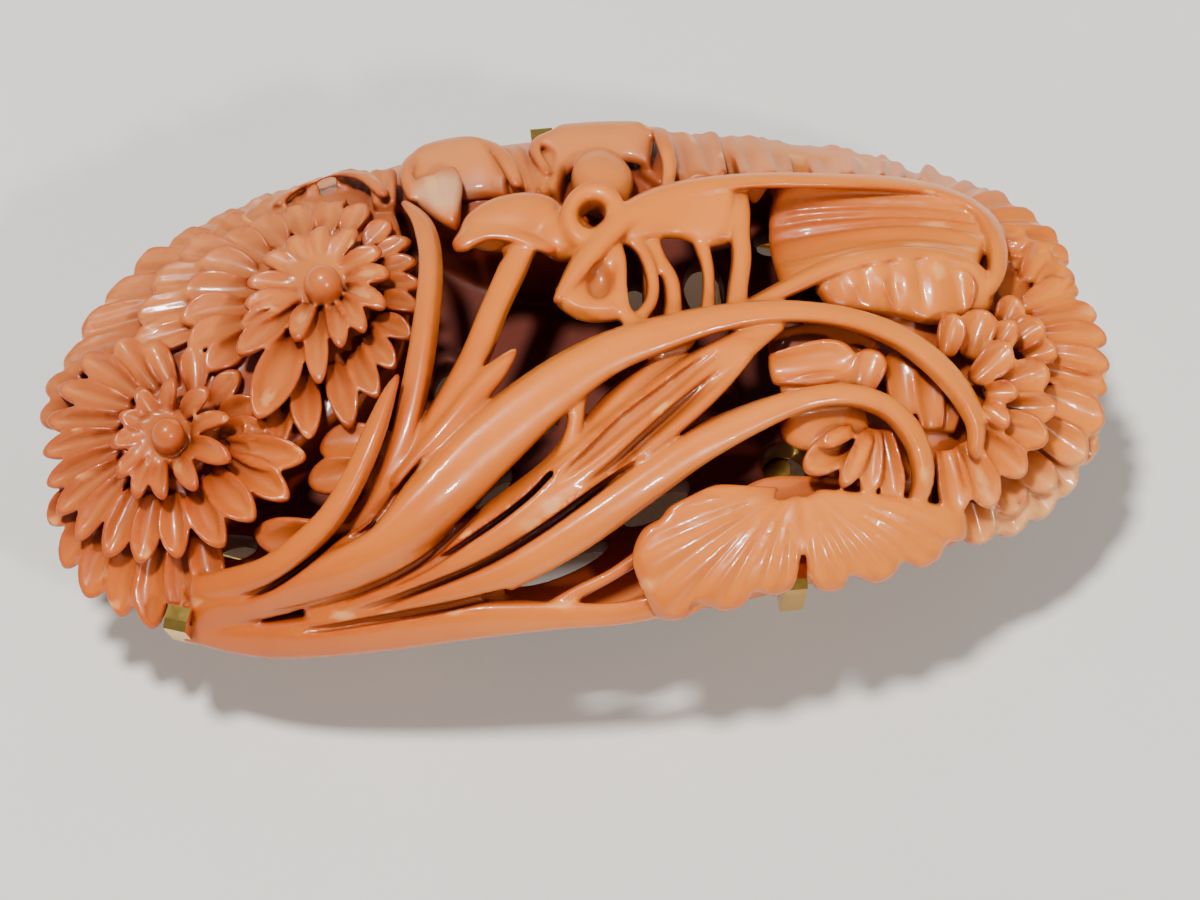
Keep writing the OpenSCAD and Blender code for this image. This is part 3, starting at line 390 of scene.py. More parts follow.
# Leaf blades. Columns: x, y, height over the dome, width, thickness, tilt in degrees
BLADES = {
    "front": [
        (-19.5, -10.2, -0.6, 0.9, 1.2, 10), (-16, -10.5, 0.1, 1.2, 1.2, 20),
        (-13.2, -9.3, 0.5, 1.2, 1.2, 25), (-11.5, -7.5, 0.8, 1.1, 1.1, 30), (-10.2, -5.2, 1, 1, 1, 30),
        (-9.3, -3.3, 1, 0.6, 0.7, 25), (-8.8, -2.4, 1, 0.2, 0.3, 20)],
    "tall": [
        (-12.4, -9.9, -0.9, 0.8, 1.4, -20), (-10.6, -8.6, -0.5, 0.9, 1.4, -20),
        (-9.1, -6.2, -0.1, 1.1, 1.4, 0), (-8, -3, 0.2, 1.2, 1.4, 20), (-7.2, 0.5, 0.5, 1.05, 1.4, 25),
        (-6.7, 4, 0.5, 0.95, 1.3, 25), (-6.9, 6.6, 0.4, 0.85, 1.1, 25), (-7.7, 8.4, 0, 0.35, 0.6, 25)],
    "hooded": [
        (-12, -10, -0.9, 0.8, 1.4, -20), (-9.4, -8, -0.4, 1.1, 1.4, -20), (-7.3, -5.4, -0.1, 1.5, 1.4, -10),
        (-5.2, -2.2, -0.1, 1.4, 1.5, 10), (-3.9, 0.6, -0.2, 1.3, 1.4, 15), (-2.8, 2.9, -0.2, 1.4, 1.3, 15),
        (-2.3, 4.2, -0.1, 1.5, 1.2, 10)],
    "spur": [
        (-9.4, -7.9, 0, 0.8, 1, -20), (-6.6, -5.3, 0.4, 1.1, 1, -25), (-4.6, -3.3, 0.4, 1.2, 0.9, -20),
        (-3.7, -2.4, 0.4, 0.8, 0.7, -10), (-3.1, -1.8, 0.4, 0.25, 0.3, 0)],
    "main": [
        (-20, -10.9, -0.6, 1, 1.4, -20), (-15, -11.2, 0, 1.6, 1.5, -28), (-11, -10.7, 0.3, 2.3, 1.6, -28),
        (-8, -9.1, 0.5, 3, 1.6, -26), (-5, -6.7, 0.6, 3.2, 1.6, -22), (-2, -4.4, 0.8, 2.8, 1.6, -18),
        (1, -2.6, 0.9, 2.3, 1.5, -15), (4, -1.6, 0.9, 1.9, 1.4, -12), (7, -0.9, 0.9, 1.5, 1.4, -5),
        (10, -0.7, 0.9, 1.25, 1.4, 0), (13, -1.2, 0.9, 1.2, 1.3, 10), (15.6, -2.4, 0.8, 1.3, 1.3, 20),
        (17.6, -4.4, 0.7, 1.3, 1.2, 30), (18.6, -6.4, 0.3, 1, 1, 30), (18.4, -8, -0.2, 0.5, 0.6, 30)],
    "inner": [
        (-14, -12, -0.6, 0.7, 1.4, -30), (-9, -11.4, -0.3, 0.9, 1.4, -30), (-6, -10.4, -0.2, 1, 1.4, -30),
        (-3.5, -9.1, -0.1, 1, 1.4, -25), (-1.7, -7.8, 0, 0.9, 1.3, -20), (-0.8, -6.4, 0, 0.8, 1.2, 0),
        (-0.4, -4.8, 0, 0.8, 1.2, 0), (0.2, -3.2, 0, 1, 1.2, 0)],
    "broad": [
        (-14, -12.5, -0.7, 0.8, 1.4, -30), (-9, -12, -0.2, 1.2, 1.5, -30), (-5, -10.8, 0.2, 1.9, 1.6, -26),
        (-2, -9.2, 0.4, 2.5, 1.6, -22), (1, -7.4, 0.5, 2.8, 1.5, -20), (3.6, -5.5, 0.5, 2.7, 1.4, -18),
        (5.8, -3.8, 0.5, 2.3, 1.3, -15), (7.8, -2.4, 0.5, 1.6, 1.2, 0), (9.6, -1.3, 0.4, 1, 1, 0)],
    "seam": [
        (-4, -11.2, 0.2, 0.4, 1, -20), (-1, -9.6, 0.5, 0.6, 1, -25), (1.8, -7.9, 0.6, 0.6, 1, -25),
        (4.4, -6.2, 0.6, 0.6, 1, -25), (6.4, -4.6, 0.6, 0.5, 1, -20), (8, -3, 0.5, 0.4, 0.8, -10)],
    "shelf": [
        (-2.6, -8.8, -0.5, 0.8, 1.2, -20), (-0.6, -7.1, -0.3, 1.1, 1.2, -28),
        (1.4, -5.2, -0.2, 1.3, 1.2, -28), (3.1, -3.7, -0.2, 1.3, 1.2, -25),
        (4.6, -2.4, -0.1, 1.1, 1.2, -15), (5.4, -1.6, 0.2, 0.8, 1.2, 0)],
    "low": [
        (-13, -12.9, -0.7, 0.8, 1.4, -25), (-7, -12.6, -0.2, 1.2, 1.5, -25), (-4, -12, 0.1, 1.5, 1.6, -25),
        (-1, -10.8, 0.4, 1.8, 1.7, -22), (2, -9.2, 0.6, 1.8, 1.7, -20), (5, -7.5, 0.7, 1.7, 1.6, -15),
        (8, -6.2, 0.8, 1.4, 1.5, -5), (10.5, -5.4, 0.9, 1.1, 1.4, 0), (12.6, -5.3, 0.9, 1.1, 1.3, 10),
        (14.4, -6, 0.9, 1.1, 1.3, 20), (15.5, -7.5, 0.7, 1.1, 1.2, 20), (15.7, -9.2, 0.2, 1, 1, 20),
        (15, -10.6, -0.4, 0.5, 0.6, 20)],
    "rim": [
        (-20, -11.3, -0.8, 0.8, 1.3, -10), (-16, -12.6, -0.6, 1.2, 1.4, -20),
        (-11, -13.3, -0.5, 1.3, 1.5, -20), (-6, -13.7, -0.4, 1.1, 1.3, -15), (-2, -14, -0.3, 0.8, 1, 0),
        (0.6, -14.1, -0.3, 0.7, 0.8, 0), (2.8, -13.9, -0.4, 0.8, 0.8, 0)],
    "arc": [
        (-0.9, 0.7, 0.2, 0.4, 0.7, 0), (0.4, 2.6, 0.5, 1.1, 1.3, -10), (1.8, 4.4, 0.7, 1.3, 1.4, -10),
        (3.6, 6.2, 0.8, 1.4, 1.4, -10), (5.8, 7.3, 0.9, 1.3, 1.4, -10), (9.4, 7.8, 0.9, 1.2, 1.3, 0),
        (14, 7.8, 0.8, 1.2, 1.2, 0), (16.8, 7.8, 0.6, 1.3, 1.2, 10), (19.2, 7.5, 0.4, 1.3, 1.2, 20),
        (20.8, 6.2, 0.3, 1.2, 1.2, 30), (21.2, 3.9, 0.3, 1, 1.2, 20), (20.9, 1.9, 0.2, 0.8, 1, 10),
        (20.3, 0.5, -0.2, 0.5, 0.6, 0)],
    "under": [
        (8.6, -0.2, -0.2, 0.7, 1.2, -10), (10.6, 0.8, 0.1, 0.9, 1.2, -15), (12.8, 1.9, 0.4, 1, 1.1, -15),
        (15.2, 2.6, 0.6, 0.9, 1, 0), (17.6, 2.8, 0.5, 0.8, 0.9, 0), (19.4, 2.4, 0.2, 0.7, 0.8, 10),
        (20.4, 1.5, -0.2, 0.4, 0.6, 10)],
    "cross": [
        (8.5, 7.6, 0.2, 1.3, 1.6, 0), (8.7, 6, 0, 1, 1.7, 0), (8.5, 4.2, -0.1, 0.9, 1.7, 0),
        (8.4, 2.6, -0.2, 0.9, 1.7, 0), (8, 0.8, -0.2, 0.9, 1.6, 0), (7.7, -0.6, 0, 1, 1.4, 0)],
    "almond": [
        (2, 4.6, 0.2, 1, 1.3, 0), (2.4, 3, 0, 0.7, 1.3, 0), (2.3, 1.2, 0, 0.6, 1.3, 0),
        (2.3, -0.2, 0, 0.8, 1.3, 0), (3, -1.4, 0.1, 1, 1.3, 0)],
    "first": [
        (2.6, 4.8, 0, 0.9, 1.3, 0), (3.6, 3.4, -0.2, 0.7, 1.3, 0), (3.9, 1.7, -0.3, 0.6, 1.3, 0),
        (3.7, 0.3, -0.3, 0.6, 1.3, 0), (2.9, -0.8, -0.2, 0.8, 1.3, 0)],
    "second": [
        (4, 4.8, -0.3, 0.9, 1.2, 0), (4.3, 3, -0.6, 0.8, 1.3, 0), (4.8, 1.6, -0.7, 0.8, 1.3, 0),
        (4.8, 0.2, -0.7, 0.8, 1.3, 0), (4.6, -1, -0.4, 1, 1.3, 0)],
    "third": [
        (6.5, 4, -0.6, 0.8, 1.1, 0), (6.7, 2.2, -0.7, 0.6, 1.1, 0), (6.6, 0.8, -0.7, 0.55, 1.1, 0),
        (6.3, -1, -0.3, 0.8, 1.1, 0)],
    "thin": [
        (-2.6, -13.8, -0.6, 0.6, 0.8, 0), (-1.2, -13.3, -0.6, 0.5, 0.7, 0),
        (0.4, -12.8, -0.6, 0.45, 0.7, 0), (2.2, -12, -0.5, 0.6, 0.8, 0)],
    "arch_left": [
        (-7.2, 8.6, -0.6, 0.6, 1, 0), (-7.4, 10.6, 0.1, 0.7, 0.9, 0), (-6.9, 12.6, 0.8, 0.7, 0.8, 0),
        (-5.6, 13.9, 1.2, 0.7, 0.8, 0), (-4.2, 13.9, 1.2, 0.7, 0.8, 0), (-3.1, 12.6, 0.9, 0.7, 0.9, 0),
        (-2.4, 10.6, 0.3, 0.8, 1, 0), (-2, 8.6, -0.5, 0.6, 1, 0)],
    "arch_right": [
        (-0.4, 9.4, -0.8, 0.5, 0.9, 0), (-0.9, 11.6, -0.2, 0.6, 0.9, 0), (-0.3, 13.2, 0.7, 0.7, 0.9, 0),
        (0.9, 14.8, 1.9, 0.8, 0.9, 0), (2.6, 15.7, 3.1, 0.8, 0.9, 0), (4.2, 15.1, 2.4, 0.8, 0.9, 0),
        (5.3, 13.7, 1.4, 0.8, 1, 0), (5.5, 11.5, 0.9, 0.8, 1.1, 0), (5.6, 9.3, 0.1, 0.7, 1.1, 0),
        (5.3, 7.6, -0.3, 0.6, 1, 0)],
    "arch_small": [
        (-14, 10.2, -0.4, 0.6, 0.9, 0), (-13, 11.6, 0.3, 0.8, 0.9, 0), (-11.2, 12.4, 0.6, 0.9, 0.9, 0),
        (-9.6, 11.3, 0.4, 0.8, 0.9, 0), (-8.6, 9.2, -0.3, 0.6, 0.9, 0)],
    "cap": [
        (-5.2, 4.7, -0.1, 1, 0.9, 0), (-4.7, 5.2, 0.1, 1.2, 1, 0), (-3.8, 5.4, 0.3, 1, 0.9, 0),
        (-2.7, 5.1, 0.3, 0.9, 0.9, -10), (-1.7, 4.5, 0.1, 0.8, 0.9, -10), (-0.8, 3.8, -0.2, 0.4, 0.6, 0)],
}

# Grooves between the blades, in the blades' columns
GROOVES = [
    [(-18.6, -10.9, 0.6, 0.1, 0.6, 0), (-15.6, -11, 0.6, 0.25, 1.3, 0), (-13, -10.1, 0.8, 0.25, 1.6, 0),
     (-11.3, -8.7, 0.9, 0.25, 1.4, 0), (-10.2, -7, 1.4, 0.1, 0.5, 0)],
    [(-13.5, -10.3, 0.8, 0.1, 0.6, 0), (-10.8, -9.6, 0.6, 0.2, 1.3, 0), (-8.9, -7.7, 0.7, 0.2, 1.3, 0),
     (-7, -5.9, 1.2, 0.1, 0.6, 0)],
    [(-18, -11.6, 0.4, 0.1, 0.6, 0), (-14, -12.05, 0.4, 0.25, 1.1, 0), (-10.8, -11.95, 0.5, 0.3, 1.4, 0),
     (-8, -11.15, 0.5, 0.35, 1.6, 0), (-5.6, -9.5, 0.5, 0.35, 1.6, 0)],
    [(-13, -12.4, 0.4, 0.1, 0.6, 0), (-9, -11.85, 0.4, 0.2, 1, 0), (-5.6, -10.5, 0.5, 0.25, 1.2, 0),
     (-3.4, -9.3, 0.6, 0.25, 1.3, 0), (-2, -8.2, 0.8, 0.25, 1.3, 0)],
    [(-14.6, -12.8, 0.3, 0.1, 0.6, 0), (-10, -12.55, 0.3, 0.25, 1.1, 0), (-6, -11.9, 0.5, 0.3, 1.3, 0),
     (-3, -10.8, 0.8, 0.35, 1.5, 0), (0, -9.2, 0.9, 0.35, 1.6, 0), (2.4, -7.8, 1.3, 0.1, 0.8, 0)],
    [(-2.4, -9, 1, 0.1, 0.4, 0), (-0.4, -7.7, 1, 0.5, 0.8, -10), (1.6, -6.2, 1, 0.7, 0.9, -12),
     (3.8, -4.7, 1, 0.7, 0.9, -12), (5.6, -3.4, 1, 0.5, 0.8, -10), (7.2, -2.3, 1, 0.1, 0.4, 0)],
    [(-1.6, -9.7, 1, 0.1, 0.4, 0), (0.6, -8.4, 0.9, 0.4, 0.9, -12), (2.6, -6.9, 0.9, 0.5, 1, -12),
     (4.8, -5.2, 0.9, 0.5, 1, -12), (6.8, -3.6, 0.9, 0.1, 0.5, -10)],
    [(-16, -12.4, 0.2, 0.1, 0.6, 0), (-13, -12.9, 0.1, 0.2, 1, 0), (-8, -13.15, 0.2, 0.3, 1.2, 0),
     (-4.6, -13, 0.3, 0.3, 1.3, 0)]]

# Petals. Columns: root x, y, tip x, y, width, height over the dome at root and tip, cup of the edges
LOWER_BUDS = [
    (-20.6, -2.2, -21.3, -0.4, 1, -0.9, 0.2, 0.3), (-19.9, -2.1, -19.6, -0.3, 0.9, -0.9, 0.1, 0.3),
    (-19.2, -2.5, -17.9, -1.4, 1.1, -0.9, 0.1, 0.3), (-18.9, -3.4, -17, -3.1, 1, -0.9, 0, 0.3),
    (-19, -4.1, -17.1, -5.3, 1.3, -0.9, 0.2, 0.35), (-19.6, -4.6, -18.9, -6.3, 1.1, -0.9, 0.2, 0.3),
    (-20.4, -4.6, -20.5, -6.3, 1, -0.9, 0.2, 0.3), (-20.9, -4.4, -21.8, -5.9, 1, -0.9, 0.1, 0.3),
    (-21.1, -3.8, -22.6, -4.7, 1, -0.9, 0.1, 0.3), (-21.2, -3, -22.8, -3.1, 1, -0.9, 0.1, 0.3),
    (-21, -2.6, -22.3, -1.6, 1, -0.9, 0.1, 0.3)]
LOWER_SPOONS = [
    (-18.2, -5.6, -16.2, -8.3, 1.9, -1.1, -0.3, 0.4), (-19, -6.1, -17.8, -9.1, 1.75, -1.2, -0.4, 0.4),
    (-20, -6.1, -20, -8.9, 1.65, -1.2, -0.4, 0.4), (-20.9, -5.9, -21.9, -8.5, 1.6, -1.2, -0.4, 0.35),
    (-21.7, -5.4, -23.5, -7.7, 1.6, -1.2, -0.4, 0.35), (-22.2, -4.7, -24.9, -6.5, 1.5, -1.2, -0.3, 0.35),
    (-22.4, -4, -25.8, -5, 1.45, -1.2, -0.3, 0.35), (-22.5, -3.3, -26.2, -3.5, 1.45, -1.2, -0.3, 0.35),
    (-22.4, -2.6, -26.3, -1.9, 1.45, -1.2, -0.3, 0.35), (-22.2, -1.9, -26, -0.3, 1.45, -1.2, -0.3, 0.35),
    (-21.8, -1.3, -25.3, 1.3, 1.5, -1.2, -0.4, 0.35), (-21.3, -0.8, -24.1, 2.7, 1.6, -1.3, -0.5, 0.35),
    (-20.5, -0.7, -22.2, 3, 1.6, -1.5, -0.7, 0.3), (-19.6, -0.9, -20.5, 2.2, 1.4, -1.6, -0.8, 0.25),
    (-18.6, -1.5, -18.6, 1.3, 1.5, -1.7, -1, 0.25), (-17.8, -2.3, -16.4, -0.7, 1.4, -1.7, -1, 0.25),
    (-17.6, -3.1, -15.4, -2.7, 1.4, -1.7, -1, 0.25), (-17.6, -3.8, -15.1, -4.2, 1.4, -1.6, -1, 0.25),
    (-17.2, -4.5, -13.5, -5.9, 1.8, -1.4, -0.8, 0.35), (-17.2, -5.3, -14.5, -7.7, 1.75, -1.5, -0.9, 0.35)]
LOWER_UNDER = [
    (-21.9, -7.2, -23.2, -10, 2, -1.7, -0.8, 0.25), (-21, -7.8, -21.7, -10.9, 1.9, -1.7, -0.8, 0.25),
    (-20, -8, -20, -11.3, 1.9, -1.7, -0.8, 0.25), (-22.9, -6.6, -24.7, -8.8, 2, -1.7, -0.8, 0.25),
    (-23.5, -5.6, -25.8, -7.2, 1.9, -1.7, -0.8, 0.25), (-24, -4.4, -26.3, -5.2, 1.7, -1.7, -0.9, 0.25),
    (-24.2, -1, -26.4, 0.4, 1.7, -1.8, -0.9, 0.25), (-23.8, 0.2, -26, 2.1, 1.7, -1.8, -0.9, 0.25),
    (-18.9, -8, -18.5, -10.6, 1.8, -1.8, -1, 0.25)]
UPPER_BUDS = [
    (-12.6, 2.4, -13.5, 0.3, 1.2, -0.9, 0.1, 0.4), (-11.6, 2.2, -11.4, -0.5, 1.1, -0.9, 0, 0.4),
    (-11.2, 2.4, -10.2, 0.2, 1.1, -0.9, 0, 0.4), (-10.9, 2.9, -9.1, 1.5, 1.2, -0.9, -0.1, 0.35),
    (-10.8, 3.6, -8.7, 3.5, 1.2, -0.9, -0.1, 0.35), (-11, 4.3, -9, 5.2, 1.2, -0.9, -0.2, 0.3),
    (-11.4, 4.9, -10.2, 7, 1.2, -0.9, -0.3, 0.3), (-12, 5, -11.8, 7.5, 1.2, -1, -0.3, 0.3),
    (-12.6, 4.9, -13.3, 7.2, 1.2, -1, -0.3, 0.3), (-13, 4.4, -14.8, 6.1, 1.2, -1, -0.3, 0.3),
    (-13.3, 3.7, -15.7, 4.5, 1.2, -1, -0.3, 0.3), (-13.3, 3.1, -15.9, 3, 1.2, -0.9, -0.2, 0.35),
    (-12.3, 2, -12.6, -2.3, 1.25, -1, -0.3, 0.4)]
UPPER_SPOONS = [
    (-13.4, 2.2, -16.4, 0.1, 1.7, -0.9, -0.1, 0.45), (-13.5, 1, -15.7, -3.6, 2.2, -1, -0.1, 0.55),
    (-13.3, 2.8, -16.2, 1.6, 1.2, -0.9, -0.2, 0.35)]
UPPER_UNDER = [
    (-14.8, -1.6, -16.1, -5, 1.5, -1.8, -1.1, 0.3), (-14.2, -1.7, -14.7, -5.2, 1.4, -1.7, -1.1, 0.3),
    (-13.2, -1.4, -13.3, -5, 1.6, -1.6, -0.9, 0.35), (-11.9, -1.1, -11.3, -4.8, 1.5, -1.5, -0.8, 0.35),
    (-10.8, -0.6, -9.9, -3.4, 1.4, -1.5, -0.9, 0.3), (-10.2, 0.2, -8.9, -2, 1.3, -1.5, -1, 0.3),
    (-9.8, 1, -7.9, -0.4, 1.3, -1.5, -1.1, 0.3), (-9.5, 2, -7.4, 1.2, 1.2, -1.6, -1.1, 0.3),
    (-9.4, 2.9, -7.2, 2.7, 1.2, -1.6, -1.1, 0.3), (-9.4, 3.8, -7.3, 4.2, 1.2, -1.6, -1.1, 0.3),
    (-9.5, 4.7, -7.5, 5.7, 1.2, -1.6, -1.1, 0.3), (-9.9, 5.6, -8.4, 7.2, 1.3, -1.6, -1, 0.3),
    (-10.7, 6.5, -9.6, 8.9, 1.5, -1.7, -1, 0.3), (-11.7, 6.9, -11.3, 9.8, 1.6, -1.7, -0.9, 0.3),
    (-12.7, 7, -13, 9.9, 1.7, -1.7, -0.9, 0.3), (-13.7, 6.7, -14.9, 9.4, 1.9, -1.6, -0.8, 0.3),
    (-14.6, 6, -16.7, 8.4, 2, -1.6, -0.8, 0.3), (-15.2, 5.1, -18, 6.9, 2, -1.6, -0.8, 0.3),
    (-15.6, 4.1, -18.9, 5, 2, -1.6, -0.8, 0.3), (-15.8, 3, -19.1, 3.1, 1.9, -1.7, -0.9, 0.3),
    (-15.9, 2, -18.8, 1.4, 1.8, -1.7, -0.9, 0.3), (-15.9, 1, -18, -0.2, 1.7, -1.8, -1.1, 0.3)]
UPPER_OUTER = [
    (-10.6, 8.6, -9.7, 12.6, 2, -2, -0.7, 0.2), (-11.6, 8.6, -11.3, 13.5, 2.3, -1.9, -0.5, 0.2),
    (-12.8, 8.8, -13.4, 13.4, 2.5, -1.9, -0.5, 0.2), (-14.1, 8.5, -15.6, 12.6, 2.6, -1.9, -0.5, 0.2),
    (-15.3, 7.9, -17.7, 11.3, 2.6, -1.9, -0.5, 0.2), (-16.3, 7.1, -19.6, 9.8, 2.6, -1.9, -0.6, 0.2),
    (-17.1, 6, -21.4, 8, 2.6, -1.9, -0.6, 0.2), (-17.8, 4.9, -22.9, 6.1, 2.6, -1.9, -0.7, 0.2),
    (-18.4, 3.8, -24.1, 4.2, 2.4, -2, -0.8, 0.2), (-19.4, 2.6, -25.1, 2.6, 2, -2, -0.9, 0.2)]
UPPER_MIDDLE = [
    (-11.4, 7.8, -11, 11, 2, -1.8, -0.8, 0.25), (-12.3, 7.9, -12.7, 11.5, 2.2, -1.8, -0.7, 0.25),
    (-13.6, 7.6, -15, 10.9, 2.3, -1.8, -0.7, 0.25), (-14.8, 6.9, -17.1, 9.6, 2.3, -1.8, -0.7, 0.25),
    (-15.7, 5.9, -18.9, 8, 2.3, -1.8, -0.7, 0.25), (-16.3, 4.8, -20.4, 6.1, 2.3, -1.8, -0.7, 0.25),
    (-16.5, 3.7, -21.2, 4, 2.2, -1.8, -0.8, 0.25), (-16.8, 2.6, -21.4, 2.2, 2, -1.9, -0.9, 0.25)]
RIGHT_NEAR = [
    (17.6, -3.2, 18.3, -0.8, 1.5, -0.9, 0, 0.5), (18.9, -3.2, 19.9, -0.5, 1.9, -1, -0.1, 0.5),
    (19.6, -3.6, 21.3, -1, 1.4, -0.9, 0.1, 0.5), (18.8, -4.4, 20.8, -2.3, 1.7, -0.7, 0.1, 0.5),
    (19.4, -4.9, 22.7, -3.5, 1.9, -0.9, 0, 0.5), (19.3, -5.7, 22.9, -5.2, 1.7, -0.9, -0.1, 0.5),
    (19.2, -6.2, 22.2, -6.8, 1.9, -0.9, 0, 0.5), (18.6, -6.9, 20.9, -8.4, 1.8, -0.9, -0.2, 0.5),
    (18, -7.4, 19.1, -9.9, 1.8, -0.9, -0.3, 0.5), (17, -7.8, 17.1, -10.5, 1.8, -1, -0.4, 0.45),
    (19.3, -5, 20.9, -4.8, 1.2, -0.4, 0.3, 0.4), (19, -5.6, 20.2, -6.5, 1.2, -0.4, 0.2, 0.4)]
RIGHT_FAR = [
    (20.7, -1.6, 21.6, 0.5, 1.5, -1.3, -0.3, 0.45), (21.1, -2.4, 22.8, -0.9, 1.6, -1.2, -0.2, 0.45),
    (21.6, -3, 23.4, -2.2, 1.4, -1.3, -0.4, 0.4), (22.2, 0, 25.2, 2, 1.6, -1.5, -0.5, 0.3),
    (22.5, -0.8, 26, 0.6, 1.5, -1.5, -0.5, 0.3), (22.7, -1.6, 26.3, -0.8, 1.5, -1.4, -0.4, 0.3),
    (22.7, -2.5, 26.2, -2.3, 1.5, -1.4, -0.4, 0.3), (22.6, -3.5, 25.9, -3.6, 1.6, -1.5, -0.6, 0.3),
    (22.2, -4.9, 25.5, -5.2, 2.3, -1.6, -0.5, 0.3), (21.6, -6.2, 24.4, -7, 2.1, -1.7, -0.7, 0.3),
    (20.8, -7.5, 22.5, -8.6, 1.8, -1.7, -0.7, 0.3), (19.6, -8.6, 20.4, -9.9, 1.8, -1.7, -0.8, 0.3),
    (23.1, 0.8, 24.9, 3.3, 1.7, -1.5, -0.5, 0.3), (22.6, 1.8, 23.8, 4.6, 1.6, -1.5, -0.5, 0.3),
    (21.8, 2.4, 22.5, 5.8, 1.7, -1.7, -0.6, 0.3), (20, -1, 19.7, 1.2, 1.5, -1.5, -0.8, 0.3)]
RIGHT_RIM = [
    (16.6, -8.6, 16.9, -11.5, 1.8, -1.5, -0.9, 0.25), (17.8, -8.6, 18.7, -11.2, 2, -1.6, -1, 0.25),
    (19, -8, 20.5, -10.6, 2.1, -1.7, -1, 0.25), (20.2, -7.2, 22.1, -9.7, 2.2, -1.7, -1, 0.25),
    (21.2, -6.4, 23.5, -8.5, 2.2, -1.7, -1, 0.25), (22, -5.2, 24.8, -6.9, 2.2, -1.8, -1, 0.25)]
CURLED = [
    (13.4, -6.4, 9.3, -7, 2.2, -0.6, -0.3, -0.3), (12.9, -7.3, 10, -8.9, 1.7, -0.9, -0.5, 0.5),
    (13.3, -7.1, 11.7, -9.6, 1, -0.4, 0, 0.3), (13.6, -6.9, 12.9, -10, 1.2, -0.7, -0.3, 0.45),
    (14, -6.9, 14.2, -10.4, 1.4, -0.9, -0.5, 0.5), (12.6, -7, 10.9, -7.7, 0.9, -0.4, 0.1, 0.3)]
FOLDED = [
    (9.2, -2.4, 14.6, -2.2, 1.9, -1.4, -1, -0.1), (9, -3.9, 13.2, -3.3, 2.2, -1, -0.5, 0.5),
    (9.4, -4.9, 12.8, -4.6, 1.2, -1, -0.6, 0.3), (13.2, -5.1, 14.2, -2.9, 1.7, -0.9, -0.2, 0.35),
    (15.2, -6.4, 15.1, -3, 1.5, -1.4, -0.9, 0.3), (16.6, -6.9, 16.6, -3.2, 1.6, -1.4, -0.8, 0.3),
    (17.3, -7, 17.8, -4.9, 1.2, -1.6, -1, 0.3)]
LOBES = [
    (-9.2, -6, -12.9, -5.4, 2.1, -1.4, -1.6, 0.15), (-10, -7.2, -13.6, -7, 1.9, -1.5, -1.7, 0.15),
    (-12, -9.8, -16.4, -8.9, 2, -1, -1.3, 0.15),
    (14, -0.6, 13.3, 1.2, 1.3, -1, -0.5, 0.3), (15.9, -0.8, 15.6, 1.7, 1.7, -0.9, 0, 0.45),
    (18.6, -0.8, 18.9, 1.9, 1.9, -0.9, 0, 0.45)]
FAR_PLATES = [
    (6.4, 8.4, 6.3, 14, 1.9, -1, -0.1, 0.15), (7.8, 8.4, 7.8, 14.2, 1.6, -0.9, 0, 0.15),
    (9.8, 8.2, 9.7, 14.3, 1.9, -0.8, 0.2, 0.1), (11.2, 8.2, 11.3, 14.2, 1.6, -0.8, 0.1, 0.1),
    (13.6, 8.2, 13.9, 13.9, 2.1, -0.8, 0.1, 0.1), (15.2, 8.2, 15.8, 13.3, 2, -0.8, 0, 0.1),
    (16.6, 8.2, 17.4, 12.6, 1.5, -0.8, -0.1, 0.1), (18.8, 8, 19.9, 11.6, 2, -1.4, -0.2, 0.15),
    (19.9, 7.3, 21.6, 10.3, 1.7, -1.3, -0.3, 0.2), (20.7, 6.5, 23.1, 8.8, 1.7, -1.2, -0.3, 0.2),
    (21.3, 5.6, 24.2, 7.2, 1.7, -1.2, -0.3, 0.2), (21.7, 4.6, 24.9, 5.6, 1.5, -1.1, -0.3, 0.25),
    (21.8, 3.7, 25.2, 4.2, 1.3, -1.1, -0.4, 0.25), (-8.6, 8.4, -8.5, 11.8, 1.4, -1.4, -0.4, 0.2)]
FOLDS = [
    (-1.8, 8.4, -2.4, 13.7, 1, -1.2, 0.3, -0.3), (-1.4, 8.2, -1.7, 14, 0.9, -1.1, 0.4, -0.3),
    (-1, 8.1, -0.9, 14.2, 0.9, -1, 0.5, -0.3), (-0.6, 8.1, -0.1, 14, 0.9, -1.1, 0.4, -0.3),
    (-0.2, 8.3, 0.6, 13.6, 0.9, -1.2, 0.3, -0.3)]
BUDS = [
    (2.4, 7.6, 2.6, 12.6, 3.1, -0.3, 0.5, -0.5)]
KITES = [
    (-6.1, 10.6, -5.4, 6.6, 2.5, -0.1, -0.5, -0.1)]

# Curved leaf faces, as rows of points. Columns: x, y, height over the dome
LEFT_HOOD = [
    [(-7.5, 11.2, 0), (-7.4, 9.8, -1), (-7.1, 7.6, -2.2)],
    [(-6.7, 13.2, 0.6), (-6.5, 11, -0.7), (-6.3, 7.8, -2.4)],
    [(-4.9, 14.2, 1), (-4.8, 11.8, -0.5), (-4.8, 8, -2.4)],
    [(-3.3, 13.2, 0.6), (-3.3, 11, -0.7), (-3.4, 8, -2.4)],
    [(-2.4, 11, 0.1), (-2.4, 9.8, -1), (-2.4, 7.8, -2.2)]]
RIGHT_HOOD = [
    [(-0.6, 12.1, -0.3), (-0.1, 11.1, -1), (0.5, 9, -2)],
    [(0.6, 14.4, 1), (1, 12.9, -0.1), (1.4, 9.8, -1.8)],
    [(2.6, 15.7, 2.5), (2.6, 13.7, 0.5), (2.6, 10, -1.8)],
    [(4.2, 15, 1.8), (4.1, 13.2, 0.1), (3.9, 9.8, -1.8)],
    [(5.3, 12.8, 0.6), (5.1, 11.4, -0.7), (4.8, 9, -2)]]
